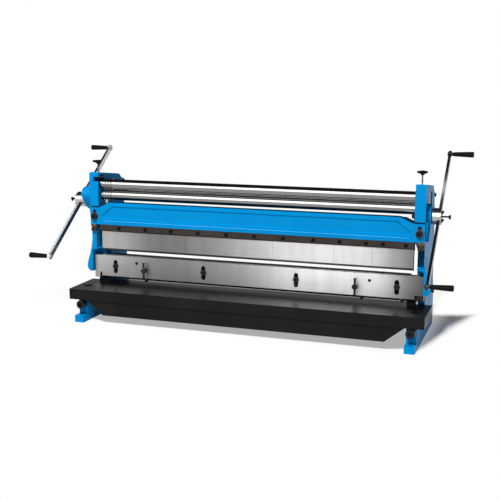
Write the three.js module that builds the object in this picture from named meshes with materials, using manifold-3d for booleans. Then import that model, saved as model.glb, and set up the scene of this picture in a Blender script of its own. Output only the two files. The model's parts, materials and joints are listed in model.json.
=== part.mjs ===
// Slip roll machine with a shear and a box-and-pan press brake on one pair of side frames.
// Millimetres. X runs along the machine, +Y to the back, +Z up, floor at zero.
import * as THREE from 'three';
import { mergeVertices } from 'three/addons/utils/BufferGeometryUtils.js';
import Module from 'manifold-3d';

const wasm = await Module();
wasm.setup();

// General clearances
const gap = 0.3;
const overrun = 6;
const slotPlay = 1.5;
const sink = 1.5;

// Side frames. Heights run from the rolls, the die or the bed, depths from the housing's front face.
const frameSpan = 1330;
const housingWidth = 40;
const plateWidth = 28;
const housing = {
  belowRoll: 45, frontRise: 45, crownY: 8, crownRise: 52,
  topBackY: 197, topBackRise: 28, shoulderY: 229, shoulderDrop: 3, waistY: 261, waistDrop: 11,
};
const plate = { frontY: 10, diePlay: 2, hipY: 275, hipDrop: 31, heelY: 300, heelDrop: 19, backY: 307 };
const nose = { reach: 27, rise: 27.7, innerRise: 30, stepRise: 22, blendY: 90, blendInset: 15 };
const noseShares = [
  [0, 0.45], [0.03, 0.87], [0.11, 1], [0.29, 0.41], [0.46, 0.04], [0.68, -0.11], [0.82, 0.22], [1, 0.3],
];
const columnFront = -120;
const foot = { frontY: -160, height: 29, holeRadius: 7, holeInset: 20 };
const bossRadius = 47;
const bossDepth = 15;
const bossSkirt = { drop: 48, foot: 11, half: 34 };
const wallBack = 20;
const bushOuter = 15.5;
const bushWall = 2.4;
const guideDepth = 30;
const boltDepth = 34;

// Rolls and their gears
const rollRadius = 21.7;
const rollGap = 1.6;
const rollTeeth = 18;
const gearModule = (2 * rollRadius + rollGap) / rollTeeth;
const rollY = 35.5;
const rollOverBeam = 5.3;
const journalRadius = 12.5;
const rollEndPlay = 2;
const wireGroove = { count: 4, first: 12, pitch: 13, halfWidth: 4, depth: 3.5 };
const rearRoll = { y: 137, rise: 29, travel: 22 };
const gearFace = 14;
const gearInset = 3;
const caseGearInset = 6;
const toothPlay = 0.5;
const addendumShare = 1;
const dedendumShare = 1.25;
const pressureAngle = Math.PI / 9;

// Upper and rear roll bearings
const upperBearing = {
  halfDepth: 20, below: 19, headBottom: 27.5, headTop: 34, lift: 4, inset: 19, skin: 3,
};
const rearBearing = { halfHeight: 26, halfDepth: 21, inset: 3, skin: 4, frontPlay: 2, backPlay: 6 };
const screwRadius = 6;
const topKnob = { rise: 33, height: 15, web: 5, radius: 20, lobe: 8, hub: 9, neck: 6.6 };
const rearKnob = { play: 1, length: 15 };

// Cranks
const crankTeeth = 22;
const degree = Math.PI / 180;
const crankAngle = -37.5 * degree;
const crankShaftRadius = 12.5;
const hub = {
  radius: 32, rightPlay: 2, rightLength: 34, leftPlay: 6, leftLength: 45,
  collar: 22, collarLength: 3, chamfer: 1.5,
};
const arm = {
  half: 342, width: 22, thick: 11, rightInset: 9.5, leftInset: 15, eye: 13,
};
const armTilt = { left: 54 * degree, right: 51 * degree };
const grip = {
  start: 4, length: 84, rootRadius: 7, bodyRadius: 9, endRadius: 11.5,
  pin: 5, pinLength: 67, neck: 7, dome: 3.5,
};
const clutch = {
  rodRadius: 4, coneRadius: 13, coneLength: 8, coneTaper: 3, stem: 27, knobRadius: 9, knobLength: 7,
  travel: 6,
};
const lobes = 3;
const gearCase = {
  depth: 46, wall: 4, crankRadius: 40, rollRadius: 31, collarRadius: 22,
};
const caseSkirt = { drop: 52, foot: 5, half: 14 };

// Eccentric shaft
const clutchTeeth = 16;
const shaftTeeth = 36;
const shaftAngle = -68 * degree;
const shaftRadius = 12;
const shaftGearFace = 12;
const pinionInset = 1.2;
const throwLength = 11;
const stroke = 2 * throwLength;
const eccentric = { radius: 24, fromEnd: 103, width: 32, inset: 1.5, play: 3 };

// Die bar
const die = {
  inset: 2, frontY: 24, thick: 36, lift: 18.3, height: 97.7, grooveInset: 14, grooveHalf: 10,
  grooveDepth: 12, notchInset: 6, notch: 23.2,
};
const dieSlot = {
  rise: 19.7, height: 60, boltRise: 33, halfWidth: 9, shank: 6.5, head: 9, headLength: 8,
  washer: 11.5, washerThick: 2.5,
};
const dieSlotShares = [-0.861, -0.287, 0.28, 0.855];
const dieHoleShares = [-0.72, 0.703];
const dieHole = { drop: 28, radius: 6.5 };
const dieNotchShares = [-0.66, 0.66, 0.886];
const dieNotchRadius = 8;
const seat = { innerPlay: 2, outerPlay: 1, rise: 0.7 };
const tommy = {
  drop: 53, shaft: 7, head: 11, headLength: 13, reach: 26, barRadius: 3.5, barHalf: 35, barInset: 6.6,
};
const tommyShares = [-0.661, 0.626];
const lugScrew = { y: 36, drop: 51, radius: 6, head: 9, headLength: 5 };

// Brake fingers, clamp bar and beam
const finger = {
  endPlay: 2, opening: 20, height: 116.5, front: 18, back: 2, bevel: 12, heelRise: 6, topPlay: 0.5,
  seam: 0.4,
};
const seamShares = [0, 0.2888, 0.5762, 0.7647, 0.8793, 1];
const boltShares = [
  [0.227, 0.548, 0.851], [0.165, 0.488, 0.803], [0.184, 0.676], [0.171, 0.855], [0.269, 0.819],
];
const clampBar = { frontY: 5, height: 30, bevel: 4 };
const clampBolt = { shank: 4, head: 6.5, headLength: 6, drop: 15 };
const beam = {
  height: 96, earPlay: 7, rise: 53, wall: 14, depth: 50, earDepth: 9.5, flange: 14, lip: 38,
  sideReach: 0.7, sightDrop: 7, ribs: 7, ribThick: 8,
};
const panel = { depth: 4, draft: 4, bottomRise: 26, rim: 17, cornerInset: 10, tipInset: 13, tipRise: 38 };
const guide = { rise: 34, shank: 7, head: 13, headLength: 9, washer: 16, washerThick: 2.5 };
const gib = { inset: 1, depth: 9, strip: 12, neck: 5, height: 30 };

// Bed and shear
const bed = {
  endReach: 31, innerPlay: 1, frontY: -145, top: 137, lip: 44, belly: 32.5, bellyInset: 77, webSet: 6,
  web: 14, slab: 20, rearWeb: 19.7, wallPlay: 0.4, wall: 23.6, wallDrop: 15,
  throatWidth: 31, ribs: 7, rib: 12, holeInset: 15, holeY: -67, holeRadius: 17, holeDepth: 26, ledge: 15,
};
const bolt = { drop: 21, radius: 18.5, length: 28, socket: 8, socketDepth: 8, shank: 9 };
const lowerBlade = { endPlay: 10, back: 2, thick: 12, height: 32 };
const upperBlade = { thick: 10, opening: 10, rake: 10, height: 45 };
const carrier = { thick: 26, rise: 19, height: 68, endPlay: 0.4 };
const link = {
  outerPlay: 1.6, frontY: 12, armBackY: 79, topRise: 56, bendRise: 4, legFront: 4.6, legBack: 1.4,
  legRise: 13,
};

// Round pieces: sides by radius
const sidesHex = 6;
const sidesSmall = 8;
const sidesMid = 12;
const sidesLarge = 20;
const noseSteps = 12;
const smallRadius = 6.6;
const midRadius = 17;
const sidesFor = (radius) => (radius < smallRadius ? sidesSmall : radius < midRadius ? sidesMid : sidesLarge);
const boreRadius = (radius) => (radius + gap) / Math.cos(Math.PI / sidesFor(radius));
const clampBore = (clampBolt.shank + gap) / Math.cos(Math.PI / sidesHex);

// Places along the machine
const innerX = frameSpan / 2;
const outerX = innerX + housingWidth;
const plateX = outerX - plateWidth;
const frameX = (innerX + outerX) / 2;
const dieHalf = outerX - die.inset;
const notchX = plateX - die.notchInset;
const throatHalf = notchX - bed.throatWidth;
const bedHalf = outerX + bed.endReach;
const bedInnerHalf = innerX - bed.innerPlay;
const bladeHalf = innerX - lowerBlade.endPlay;
const fingerHalf = innerX - finger.endPlay;
const beamHalf = innerX + beam.sideReach;
const riseX = innerX - beam.rise;
const linkInner = beamHalf + 2 * gap;
const linkOuter = plateX - link.outerPlay;
const eccentricStart = innerX - eccentric.fromEnd;
const hubStart = {
  left: outerX + gearCase.depth + hub.leftPlay, right: outerX + bossDepth + hub.rightPlay,
};
const hubEnd = { left: hubStart.left + hub.leftLength, right: hubStart.right + hub.rightLength };
const armPlace = { left: hubEnd.left - arm.leftInset, right: hubEnd.right - arm.rightInset };

// Places in depth
const dieBack = die.frontY + die.thick;
const grooveY = die.frontY + die.grooveInset;
const plateDieY = dieBack + plate.diePlay;
const fingerFront = grooveY - finger.front;
const fingerBack = grooveY + finger.back;
const bedWallFront = dieBack + bed.wallPlay;
const bedWallBack = bedWallFront + bed.wall;
const bladeFrontY = bedWallBack + lowerBlade.back;
const bladeBackY = bladeFrontY + lowerBlade.thick;
const bedBack = bladeFrontY - gap;
const rearWebFront = bedBack - bed.rearWeb;
const spineY = (bed.frontY + rearWebFront) / 2;

// Heights, from the bed up
const bedLip = bed.top - bed.lip;
const dieBottom = bed.top + die.lift;
const dieTop = dieBottom + die.height;
const notchTop = dieBottom + die.notch;
const slotBottom = dieBottom + dieSlot.rise;
const fingerTip = dieTop + finger.opening;
const fingerTop = fingerTip + finger.height;
const beamBottom = fingerTop + finger.topPlay;
const beamTop = beamBottom + beam.height;
const beamLip = beamBottom - beam.lip;
const guideZ = beamBottom + guide.rise;
const clampBoltZ = beamBottom - clampBolt.drop;
const lowerRollZ = beamTop + rollOverBeam + rollRadius;
const upperRollZ = lowerRollZ + 2 * rollRadius + rollGap;
const rearRollZ = lowerRollZ + rearRoll.rise;
const housingBottom = lowerRollZ - housing.belowRoll;
const crownZ = upperRollZ + housing.crownRise;
const shoulderZ = upperRollZ - housing.shoulderDrop;
const waistZ = housingBottom - housing.waistDrop;
const earTop = housingBottom - beam.earPlay;
const noseBottom = dieBottom + nose.rise;
const noseInner = dieTop + nose.innerRise;
const noseStep = dieTop + nose.stepRise;
const boltZ = bedLip - bolt.drop;
const tommyZ = dieTop - tommy.drop;
const upperEdge = bed.top + upperBlade.opening;
const carrierBottom = upperEdge + carrier.rise;

// Shaft and gear places
const away = (from, distance, angle) => [
  from[0] + distance * Math.cos(angle), from[1] + distance * Math.sin(angle)];
const centreDistance = (a, b) => gearModule * (a + b) / 2;
const lowerAxis = [rollY, lowerRollZ];
const upperAxis = [rollY, upperRollZ];
const rearAxis = [rearRoll.y, rearRollZ];
const crankAxis = away(lowerAxis, centreDistance(crankTeeth, rollTeeth), crankAngle);
const shaftAxis = away(crankAxis, centreDistance(clutchTeeth, shaftTeeth), shaftAngle);
const tipRadius = (teeth) => gearModule * (teeth / 2 + addendumShare);
const gearStart = innerX + gearInset;
const cavityEnd = outerX - wallBack;
const topScrewShare = 0.45;
const topScrewX = innerX + housingWidth * topScrewShare;
const rearWindow = {
  frontY: rearRoll.y - rearRoll.travel - rearBearing.halfDepth - rearBearing.frontPlay,
  backY: rearRoll.y + rearBearing.halfDepth + rearBearing.backPlay,
};

// Closed geometry to a solid for cutting and joining, and back
function solid(geometry) {
  const bare = geometry.index ? geometry.toNonIndexed() : geometry.clone();
  bare.deleteAttribute('normal');
  bare.deleteAttribute('uv');
  const merged = mergeVertices(bare);
  const places = merged.attributes.position.array;
  const index = merged.index.array;
  const triangles = [];
  let volume = 0;
  const a = new THREE.Vector3();
  const b = new THREE.Vector3();
  const c = new THREE.Vector3();
  for (let i = 0; i < index.length; i += 3) {
    const [p, q, r] = [index[i], index[i + 1], index[i + 2]];
    if (p === q || q === r || r === p) continue;
    triangles.push(p, q, r);
    a.fromArray(places, p * 3);
    b.fromArray(places, q * 3);
    c.fromArray(places, r * 3);
    volume += a.dot(b.cross(c));
  }
  if (volume < 0) {
    for (let i = 0; i < triangles.length; i += 3) {
      [triangles[i], triangles[i + 1]] = [triangles[i + 1], triangles[i]];
    }
  }
  return new wasm.Manifold(new wasm.Mesh({
    numProp: 3,
    vertProperties: new Float32Array(places),
    triVerts: new Uint32Array(triangles),
  }));
}

function surface(body) {
  const mesh = body.getMesh();
  const geometry = new THREE.BufferGeometry();
  const places = new Float32Array(mesh.numVert * 3);
  for (let i = 0; i < mesh.numVert; i += 1) {
    for (let k = 0; k < 3; k += 1) places[i * 3 + k] = mesh.vertProperties[i * mesh.numProp + k];
  }
  geometry.setAttribute('position', new THREE.BufferAttribute(places, 3));
  geometry.setIndex(new THREE.BufferAttribute(new Uint32Array(mesh.triVerts), 1));
  geometry.computeVertexNormals();
  return geometry;
}

const joined = (pieces) => pieces.reduce((sum, piece) => sum.add(piece));
const cut = (body, pieces) => pieces.reduce((rest, piece) => rest.subtract(piece), body);

// Basic solids. Outlines are lists of points; the letter is the axis the solid runs along.
function block(x0, x1, y0, y1, z0, z1) {
  const shape = new THREE.BoxGeometry(x1 - x0, y1 - y0, z1 - z0);
  return solid(shape.translate((x0 + x1) / 2, (y0 + y1) / 2, (z0 + z1) / 2));
}

function blockPair(x0, x1, y0, y1, z0, z1) {
  return [block(x0, x1, y0, y1, z0, z1), block(-x1, -x0, y0, y1, z0, z1)];
}

function extrude(points, depth) {
  const shape = new THREE.Shape(points.map(([u, v]) => new THREE.Vector2(u, v)));
  return new THREE.ExtrudeGeometry(shape, { depth, bevelEnabled: false, steps: 1 });
}

function plateAlongX(points, x0, x1) {
  const turn = new THREE.Matrix4().set(0, 0, 1, x0, 1, 0, 0, 0, 0, 1, 0, 0, 0, 0, 0, 1);
  return solid(extrude(points, x1 - x0).applyMatrix4(turn));
}

function plateAlongY(points, y0, y1) {
  const turn = new THREE.Matrix4().set(1, 0, 0, 0, 0, 0, -1, y1, 0, 1, 0, 0, 0, 0, 0, 1);
  return solid(extrude(points, y1 - y0).applyMatrix4(turn));
}

// Pocket into the front face, its floor smaller than its rim all around
function drafted(points, depth, draft) {
  const shape = extrude(points, depth);
  shape.computeBoundingBox();
  const half = shape.boundingBox.getSize(new THREE.Vector3()).divideScalar(2);
  const centre = shape.boundingBox.getCenter(new THREE.Vector3());
  const places = shape.attributes.position;
  for (let i = 0; i < places.count; i += 1) {
    if (places.getZ(i) < depth / 2) {
      places.setX(i, centre.x + (places.getX(i) - centre.x) * (1 - draft / half.x));
      places.setY(i, centre.y + (places.getY(i) - centre.y) * (1 - draft / half.y));
    }
  }
  return solid(shape.rotateX(Math.PI / 2).translate(0, depth, 0));
}

function turnedAlongX(profile, [y, z], sides) {
  const points = profile.map(([x, radius]) => new THREE.Vector2(radius, x));
  return solid(new THREE.LatheGeometry(points, sides).rotateZ(-Math.PI / 2).translate(0, y, z));
}

function rodX(x0, x1, [y, z], radius, sides = sidesFor(radius)) {
  const shape = new THREE.CylinderGeometry(radius, radius, x1 - x0, sides);
  return solid(shape.rotateZ(-Math.PI / 2).translate((x0 + x1) / 2, y, z));
}

function rodY(y0, y1, [x, z], radius, sides = sidesFor(radius)) {
  const shape = new THREE.CylinderGeometry(radius, radius, y1 - y0, sides);
  return solid(shape.translate(x, (y0 + y1) / 2, z));
}

function rodZ(z0, z1, [x, y], radius, sides = sidesFor(radius)) {
  const shape = new THREE.CylinderGeometry(radius, radius, z1 - z0, sides);
  return solid(shape.rotateX(Math.PI / 2).translate(x, y, (z0 + z1) / 2));
}

function ring(x0, x1, axis, outer, inner) {
  return cut(rodX(x0, x1, axis, outer), [rodX(x0 - overrun, x1 + overrun, axis, inner)]);
}

// Upright slot with round ends, cut along Y
function slotAlongY(y0, y1, x, z0, z1, halfWidth, sides) {
  return joined([
    block(x - halfWidth, x + halfWidth, y0, y1, z0 + halfWidth, z1 - halfWidth),
    rodY(y0, y1, [x, z0 + halfWidth], halfWidth, sides),
    rodY(y0, y1, [x, z1 - halfWidth], halfWidth, sides),
  ]);
}

function mirrored(body) {
  return solid(surface(body).applyMatrix4(new THREE.Matrix4().makeScale(-1, 1, 1)));
}

const sides = [['left', -1], ['right', 1]];
const onSide = (body, sign) => (sign < 0 ? mirrored(body) : body);

// Gears: involute flanks on three radii, turned to a phase that puts them in mesh
const involute = (angle) => Math.tan(angle) - angle;

function gearOutline([cy, cz], teeth, phase) {
  const pitch = gearModule * teeth / 2;
  const base = pitch * Math.cos(pressureAngle);
  const root = pitch - dedendumShare * gearModule;
  const halfAtPitch = Math.PI / (2 * teeth) - toothPlay / (2 * pitch);
  const halfAt = (radius) => halfAtPitch + involute(pressureAngle)
    - involute(Math.acos(Math.min(1, base / radius)));
  const radii = [root, pitch, tipRadius(teeth)];
  const halves = radii.map((radius) => halfAt(Math.max(radius, base)));
  const points = [];
  for (let tooth = 0; tooth < teeth; tooth += 1) {
    const middle = phase + 2 * Math.PI * tooth / teeth;
    radii.forEach((radius, i) => points.push(away([cy, cz], radius, middle - halves[i])));
    [...radii.keys()].reverse().forEach((i) => points.push(away([cy, cz], radii[i], middle + halves[i])));
  }
  return points;
}

const meshedPhase = (phase, teeth, mate, direction) => direction + Math.PI + Math.PI / mate
  - (phase - direction) * teeth / mate;

function gear(x0, x1, axis, teeth, phase, bore) {
  return cut(plateAlongX(gearOutline(axis, teeth, phase), x0, x1),
    [rodX(x0 - overrun, x1 + overrun, axis, bore)]);
}

const lowerPhase = crankAngle + Math.PI;
const crankPhase = meshedPhase(lowerPhase, rollTeeth, crankTeeth, crankAngle);
const upperPhase = meshedPhase(lowerPhase, rollTeeth, rollTeeth, Math.PI / 2);
const clutchPhase = shaftAngle;
const shaftPhase = meshedPhase(clutchPhase, clutchTeeth, shaftTeeth, shaftAngle);

// The finished model and its materials
const group = new THREE.Group();
const finish = (color, roughness, metalness) => ({ color, roughness, metalness });
const finishes = {
  bluePaint: finish(0x0a7fd6, 0.35, 0.1),
  blackIron: finish(0x1d1e20, 0.6, 0.3),
  groundSteel: finish(0xb4b4b0, 0.35, 0.9),
  gunmetal: finish(0x3b342f, 0.45, 0.7),
  polished: finish(0xd0d2d4, 0.18, 1),
  blackPart: finish(0x141414, 0.5, 0.1),
  bronze: finish(0x9a7a45, 0.4, 0.9),
  gearSteel: finish(0x6f7276, 0.4, 0.9),
};

function add(name, body, look) {
  const mesh = new THREE.Mesh(surface(body), new THREE.MeshStandardMaterial({ ...finishes[look] }));
  mesh.name = name;
  group.add(mesh);
}

function addPair(name, body, look) {
  sides.forEach(([side, sign]) => add(`${name}_${side}`, onSide(body, sign), look));
}

// Side frames
function backAt(z) {
  const share = (z - waistZ) / (shoulderZ - waistZ);
  return housing.waistY + share * (housing.shoulderY - housing.waistY);
}

function housingBody() {
  return plateAlongX([
    [0, housingBottom], [0, upperRollZ + housing.frontRise], [housing.crownY, crownZ],
    [housing.topBackY, upperRollZ + housing.topBackRise], [housing.shoulderY, shoulderZ],
    [backAt(housingBottom), housingBottom],
  ], innerX, outerX);
}

function plateBody() {
  return plateAlongX([
    [plate.frontY, housingBottom], [plate.frontY, noseInner], [plateDieY, noseStep],
    [plateDieY, foot.height], [plate.backY, foot.height], [plate.heelY, bed.top - plate.heelDrop],
    [plate.hipY, dieTop - plate.hipDrop], [housing.waistY, waistZ], [backAt(housingBottom), housingBottom],
  ], plateX, outerX);
}

function noseContour() {
  const height = housingBottom - noseBottom;
  const points = noseShares.map(([rise, reach]) => new THREE.Vector2(
    outerX + reach * nose.reach, noseBottom + rise * height));
  const curve = new THREE.SplineCurve(points);
  return curve.getPoints(noseSteps).map(({ x, y }) => [x, y]);
}

function noseBody() {
  const dieEnd = dieHalf + slotPlay + gap;
  const front = plateAlongY([
    [dieEnd, noseBottom], ...noseContour(), [plateX, housingBottom], [plateX, noseInner],
    [dieEnd, noseStep],
  ], plate.frontY, plateDieY + slotPlay);
  const back = plateAlongY([
    [outerX - nose.blendInset, noseBottom], ...noseContour(), [outerX - nose.blendInset, housingBottom],
  ], plateDieY, nose.blendY);
  return front.add(back);
}

function footBody() {
  const base = joined([
    block(innerX, outerX, foot.frontY, plate.backY, 0, foot.height),
    block(innerX, outerX, columnFront, plateDieY + slotPlay, foot.height - sink, bedLip),
  ]);
  return cut(base, [foot.frontY + foot.holeInset, plate.backY - foot.holeInset].map((y) => rodZ(
    -overrun, foot.height + overrun, [frameX, y], foot.holeRadius)));
}

// Web under a round boss on the frame's outer face, narrower and thinner at its lower end
function skirtBody(radius, { drop, foot, half }, x0, x1) {
  const [y, z] = crankAxis;
  const low = z - radius - drop;
  const front = plateAlongX([[y - radius, z], [y - half, low], [y + half, low], [y + radius, z]], x0, x1);
  const side = plateAlongY([[x0, z], [x0, low], [x0 + foot, low], [x1, z - half], [x1, z]],
    y - radius, y + radius);
  return front.intersect(side);
}

function rollHousingCuts() {
  const slotEnd = outerX - upperBearing.skin;
  const side = upperBearing.halfDepth + gap;
  const slotTop = upperRollZ + upperBearing.headTop + upperBearing.lift + slotPlay;
  return [
    block(innerX - overrun, slotEnd, rollY - side, rollY + side,
      upperRollZ - upperBearing.below - gap, slotTop),
    rodZ(slotTop - overrun, crownZ + overrun, [topScrewX, rollY], boreRadius(screwRadius)),
    block(innerX - overrun, outerX + overrun, rearWindow.frontY, rearWindow.backY,
      rearRollZ - rearBearing.halfHeight - gap, rearRollZ + rearBearing.halfHeight + gap),
    rodY(rearWindow.backY - overrun, housing.waistY, [frameX, rearRollZ], boreRadius(screwRadius)),
    rodX(innerX - overrun, outerX - upperBearing.skin, lowerAxis, boreRadius(journalRadius)),
    rodX(innerX - overrun, outerX + bossDepth + overrun, crankAxis, boreRadius(bushOuter)),
    rodX(plateX - overrun, outerX - upperBearing.skin, shaftAxis, boreRadius(shaftRadius)),
    rodY(plate.frontY - overrun, plate.frontY + guideDepth, [frameX, guideZ], boreRadius(guide.shank)),
    rodX(outerX - overrun, outerX + nose.reach + overrun, [lugScrew.y, dieTop - lugScrew.drop],
      boreRadius(lugScrew.radius)),
    rodY(columnFront - overrun, columnFront + boltDepth + gap, [frameX, boltZ], boreRadius(bolt.shank)),
  ];
}

function gearCavity(end) {
  const lifted = [rollY, upperRollZ + upperBearing.lift];
  const spots = [
    [lowerAxis, rollTeeth], [upperAxis, rollTeeth], [lifted, rollTeeth], [crankAxis, crankTeeth],
  ];
  return spots.map(([axis, teeth]) => rodX(innerX - overrun, end, axis, tipRadius(teeth) + slotPlay + gap));
}

function sideFrame(sign) {
  const body = joined([housingBody(), plateBody(), noseBody(), footBody()]);
  if (sign < 0) {
    const grownSkirt = { drop: caseSkirt.drop, foot: caseSkirt.foot + gap, half: caseSkirt.half + gap };
    return cut(body, [
      ...rollHousingCuts(),
      rodX(innerX, outerX + overrun, lowerAxis, boreRadius(journalRadius)),
      caseShell(-gap, outerX, outerX + gearCase.depth),
      skirtBody(gearCase.crankRadius + gap, grownSkirt, outerX, outerX + gearCase.depth + gap),
    ]);
  }
  const boss = joined([
    rodX(outerX - sink, outerX + bossDepth, crankAxis, bossRadius),
    skirtBody(bossRadius, bossSkirt, outerX - sink, outerX + bossDepth),
  ]);
  const bored = cut(body, [...rollHousingCuts(), ...gearCavity(cavityEnd)]);
  return cut(bored.add(boss), [rodX(innerX, outerX + bossDepth + overrun, crankAxis, boreRadius(bushOuter))]);
}

sides.forEach(([side, sign]) => add(`${side}_frame`, onSide(sideFrame(sign), sign), 'bluePaint'));

// Bed: feed table, webs and the wall that carries the die bar
function bedBody() {
  const { frontY, top, belly, webSet, web } = bed;
  const bellyHalf = bedInnerHalf - bed.bellyInset;
  const slab = joined([
    block(-bedHalf, bedHalf, frontY, dieBack, top - bed.slab, top),
    block(-bedInnerHalf, bedInnerHalf, frontY, bedBack, top - bed.slab, top),
    block(-bedHalf, bedHalf, frontY, frontY + web, bedLip, top),
  ]);
  const ends = blockPair(bedInnerHalf, bedHalf, frontY, dieBack, bedLip, top);
  const front = plateAlongY([
    [-bellyHalf, belly], [bellyHalf, belly], [bedInnerHalf, bedLip], [bedInnerHalf, top - sink],
    [-bedInnerHalf, top - sink], [-bedInnerHalf, bedLip],
  ], frontY + webSet, frontY + webSet + web);
  const rear = block(-bedInnerHalf, bedInnerHalf, rearWebFront, bedBack, belly + web, top);
  const spine = block(-bedInnerHalf, bedInnerHalf, spineY - bed.rib / 2, spineY + bed.rib / 2, bedLip, top);
  const ledgeTop = top - lowerBlade.height - gap;
  const ledge = block(-bladeHalf, bladeHalf, rearWebFront, bladeBackY, ledgeTop - bed.ledge, ledgeTop);
  const ribs = Array.from({ length: bed.ribs }, (_, i) => {
    const x = THREE.MathUtils.lerp(-bedInnerHalf, bedInnerHalf, (i + 1) / (bed.ribs + 1));
    return block(x - bed.rib / 2, x + bed.rib / 2, frontY + webSet, bedBack, belly + web, top);
  });
  const wall = block(-notchX, notchX, bedWallFront, bedWallBack, dieBottom - gap,
    dieTop - bed.wallDrop);
  const throatSides = [throatHalf, notchX];
  const posts = blockPair(...throatSides, die.frontY + overrun, bedWallBack, top - sink, dieBottom - gap);
  const lugs = blockPair(...throatSides, dieBack - sink, bedWallBack, top - bed.slab, top);
  return joined([slab, ...ends, front, rear, spine, ledge, ...ribs, wall, ...posts, ...lugs]);
}

// The four bolts that hold the die bar through its slots are one with the wall that they screw into
function dieBolt(share) {
  const spot = [share * dieHalf, slotBottom + dieSlot.boltRise];
  const face = die.frontY - gap;
  return joined([
    rodY(face - dieSlot.washerThick, face, spot, dieSlot.washer, sidesMid),
    rodY(face - dieSlot.washerThick - dieSlot.headLength, face - dieSlot.washerThick / 2, spot,
      dieSlot.head, sidesHex),
    rodY(face - dieSlot.washerThick, bedWallFront + boltDepth / 2, spot, dieSlot.shank, sidesSmall),
  ]);
}

function bedCasting() {
  const holes = [-1, 1].map((sign) => rodZ(bed.top - bed.holeDepth, bed.top + overrun,
    [sign * (outerX - bed.holeInset), bed.holeY], bed.holeRadius));
  return joined([cut(bedBody(), holes), ...dieSlotShares.map(dieBolt)]);
}

add('bed_casting', bedCasting(), 'blackIron');

function bedBolt() {
  const spot = [frameX, boltZ];
  const face = columnFront - gap;
  const head = rodY(face - bolt.length, face, spot, bolt.radius, sidesMid);
  const front = face - bolt.length;
  const socket = rodY(front - overrun, front + bolt.socketDepth, spot, bolt.socket, sidesHex);
  const shank = rodY(face - sink, face + boltDepth, spot, bolt.shank, sidesSmall);
  return cut(head, [socket]).add(shank);
}

addPair('bed_bolt', bedBolt(), 'blackPart');

// Shear: fixed lower blade, and the raked upper blade on its carrier, hung from the beam by two links
add('lower_shear_blade', block(-bladeHalf, bladeHalf, bladeFrontY, bladeBackY,
  bed.top - lowerBlade.height, bed.top), 'groundSteel');

const bladeFront = bladeBackY + gap;
const bladeBack = bladeFront + upperBlade.thick;
add('upper_shear_blade', plateAlongY([
  [-bladeHalf, upperEdge], [bladeHalf, upperEdge + upperBlade.rake],
  [bladeHalf, upperEdge + upperBlade.height], [-bladeHalf, upperEdge + upperBlade.height],
], bladeFront, bladeBack), 'groundSteel');
const carrierHalf = linkInner - carrier.endPlay;
const carrierFront = bladeBack + gap;
const carrierBack = carrierFront + carrier.thick;
add('blade_carrier', block(-carrierHalf, carrierHalf, carrierFront, carrierBack, carrierBottom,
  carrierBottom + carrier.height), 'blackIron');

function shearLink() {
  const [top, bend, foot] = [beamBottom + link.topRise, beamBottom + link.bendRise, bed.top + link.legRise];
  const [legFront, legBack] = [carrierFront - link.legFront, carrierBack + link.legBack];
  return plateAlongX([
    [link.frontY, beamBottom + gap], [link.frontY, top], [link.armBackY, top], [link.armBackY, bend],
    [legBack, bend], [legBack, foot], [legFront, foot], [legFront, beamLip], [link.armBackY, beamLip],
  ], linkInner, linkOuter);
}

addPair('shear_link', shearLink(), 'bluePaint');

// Die bar with its V groove, slots, holes and foot notches
function dieBody() {
  const section = [
    [die.frontY, dieBottom], [dieBack, dieBottom], [dieBack, dieTop],
    [grooveY + die.grooveHalf, dieTop], [grooveY, dieTop - die.grooveDepth],
    [grooveY - die.grooveHalf, dieTop], [die.frontY, dieTop],
  ];
  const through = [die.frontY - overrun, dieBack + overrun];
  const holeZ = dieTop - dieHole.drop;
  const notches = blockPair(notchX, dieHalf + overrun, ...through, dieBottom - overrun, notchTop);
  return cut(plateAlongX(section, -dieHalf, dieHalf), [
    ...notches,
    ...dieSlotShares.map((share) => slotAlongY(
      ...through, share * dieHalf, slotBottom, slotBottom + dieSlot.height, dieSlot.halfWidth, sidesSmall)),
    ...dieHoleShares.map((share) => rodY(...through, [share * dieHalf, holeZ], dieHole.radius)),
    ...dieNotchShares.map((share) => rodY(...through, [share * dieHalf, dieBottom], dieNotchRadius)),
    ...tommyShares.map((share) => rodY(...through, [share * dieHalf, tommyZ], boreRadius(tommy.shaft))),
  ]);
}

add('die_bar', dieBody(), 'groundSteel');

function tommyScrew(share) {
  const x = share * dieHalf;
  const face = die.frontY - tommy.reach;
  return joined([
    rodY(face + tommy.headLength - sink, dieBack - gap, [x, tommyZ], tommy.shaft, sidesMid),
    rodY(face, face + tommy.headLength, [x, tommyZ], tommy.head, sidesMid),
    rodZ(tommyZ - tommy.barHalf, tommyZ + tommy.barHalf, [x, face + tommy.barInset], tommy.barRadius),
  ]);
}

sides.forEach(([side], i) => add(`die_clamp_screw_${side}`, tommyScrew(tommyShares[i]), 'gunmetal'));

addPair('die_seat', block(plateX + seat.innerPlay, outerX - seat.outerPlay, die.frontY, plateDieY - gap,
  dieBottom + seat.rise, notchTop - gap), 'gunmetal');

function noseScrew() {
  const spot = [lugScrew.y, dieTop - lugScrew.drop];
  const faceX = outerX + nose.reach + sink;
  return joined([
    rodX(dieHalf + gap, faceX + sink, spot, lugScrew.radius, sidesSmall),
    rodX(faceX, faceX + lugScrew.headLength, spot, lugScrew.head, sidesHex),
  ]);
}

addPair('nose_screw', noseScrew(), 'blackPart');

// Beam casting
function beamTopPoints(drop) {
  return [
    [-innerX, earTop - drop], [-riseX, beamTop - drop],
    [riseX, beamTop - drop], [innerX, earTop - drop],
  ];
}

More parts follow.
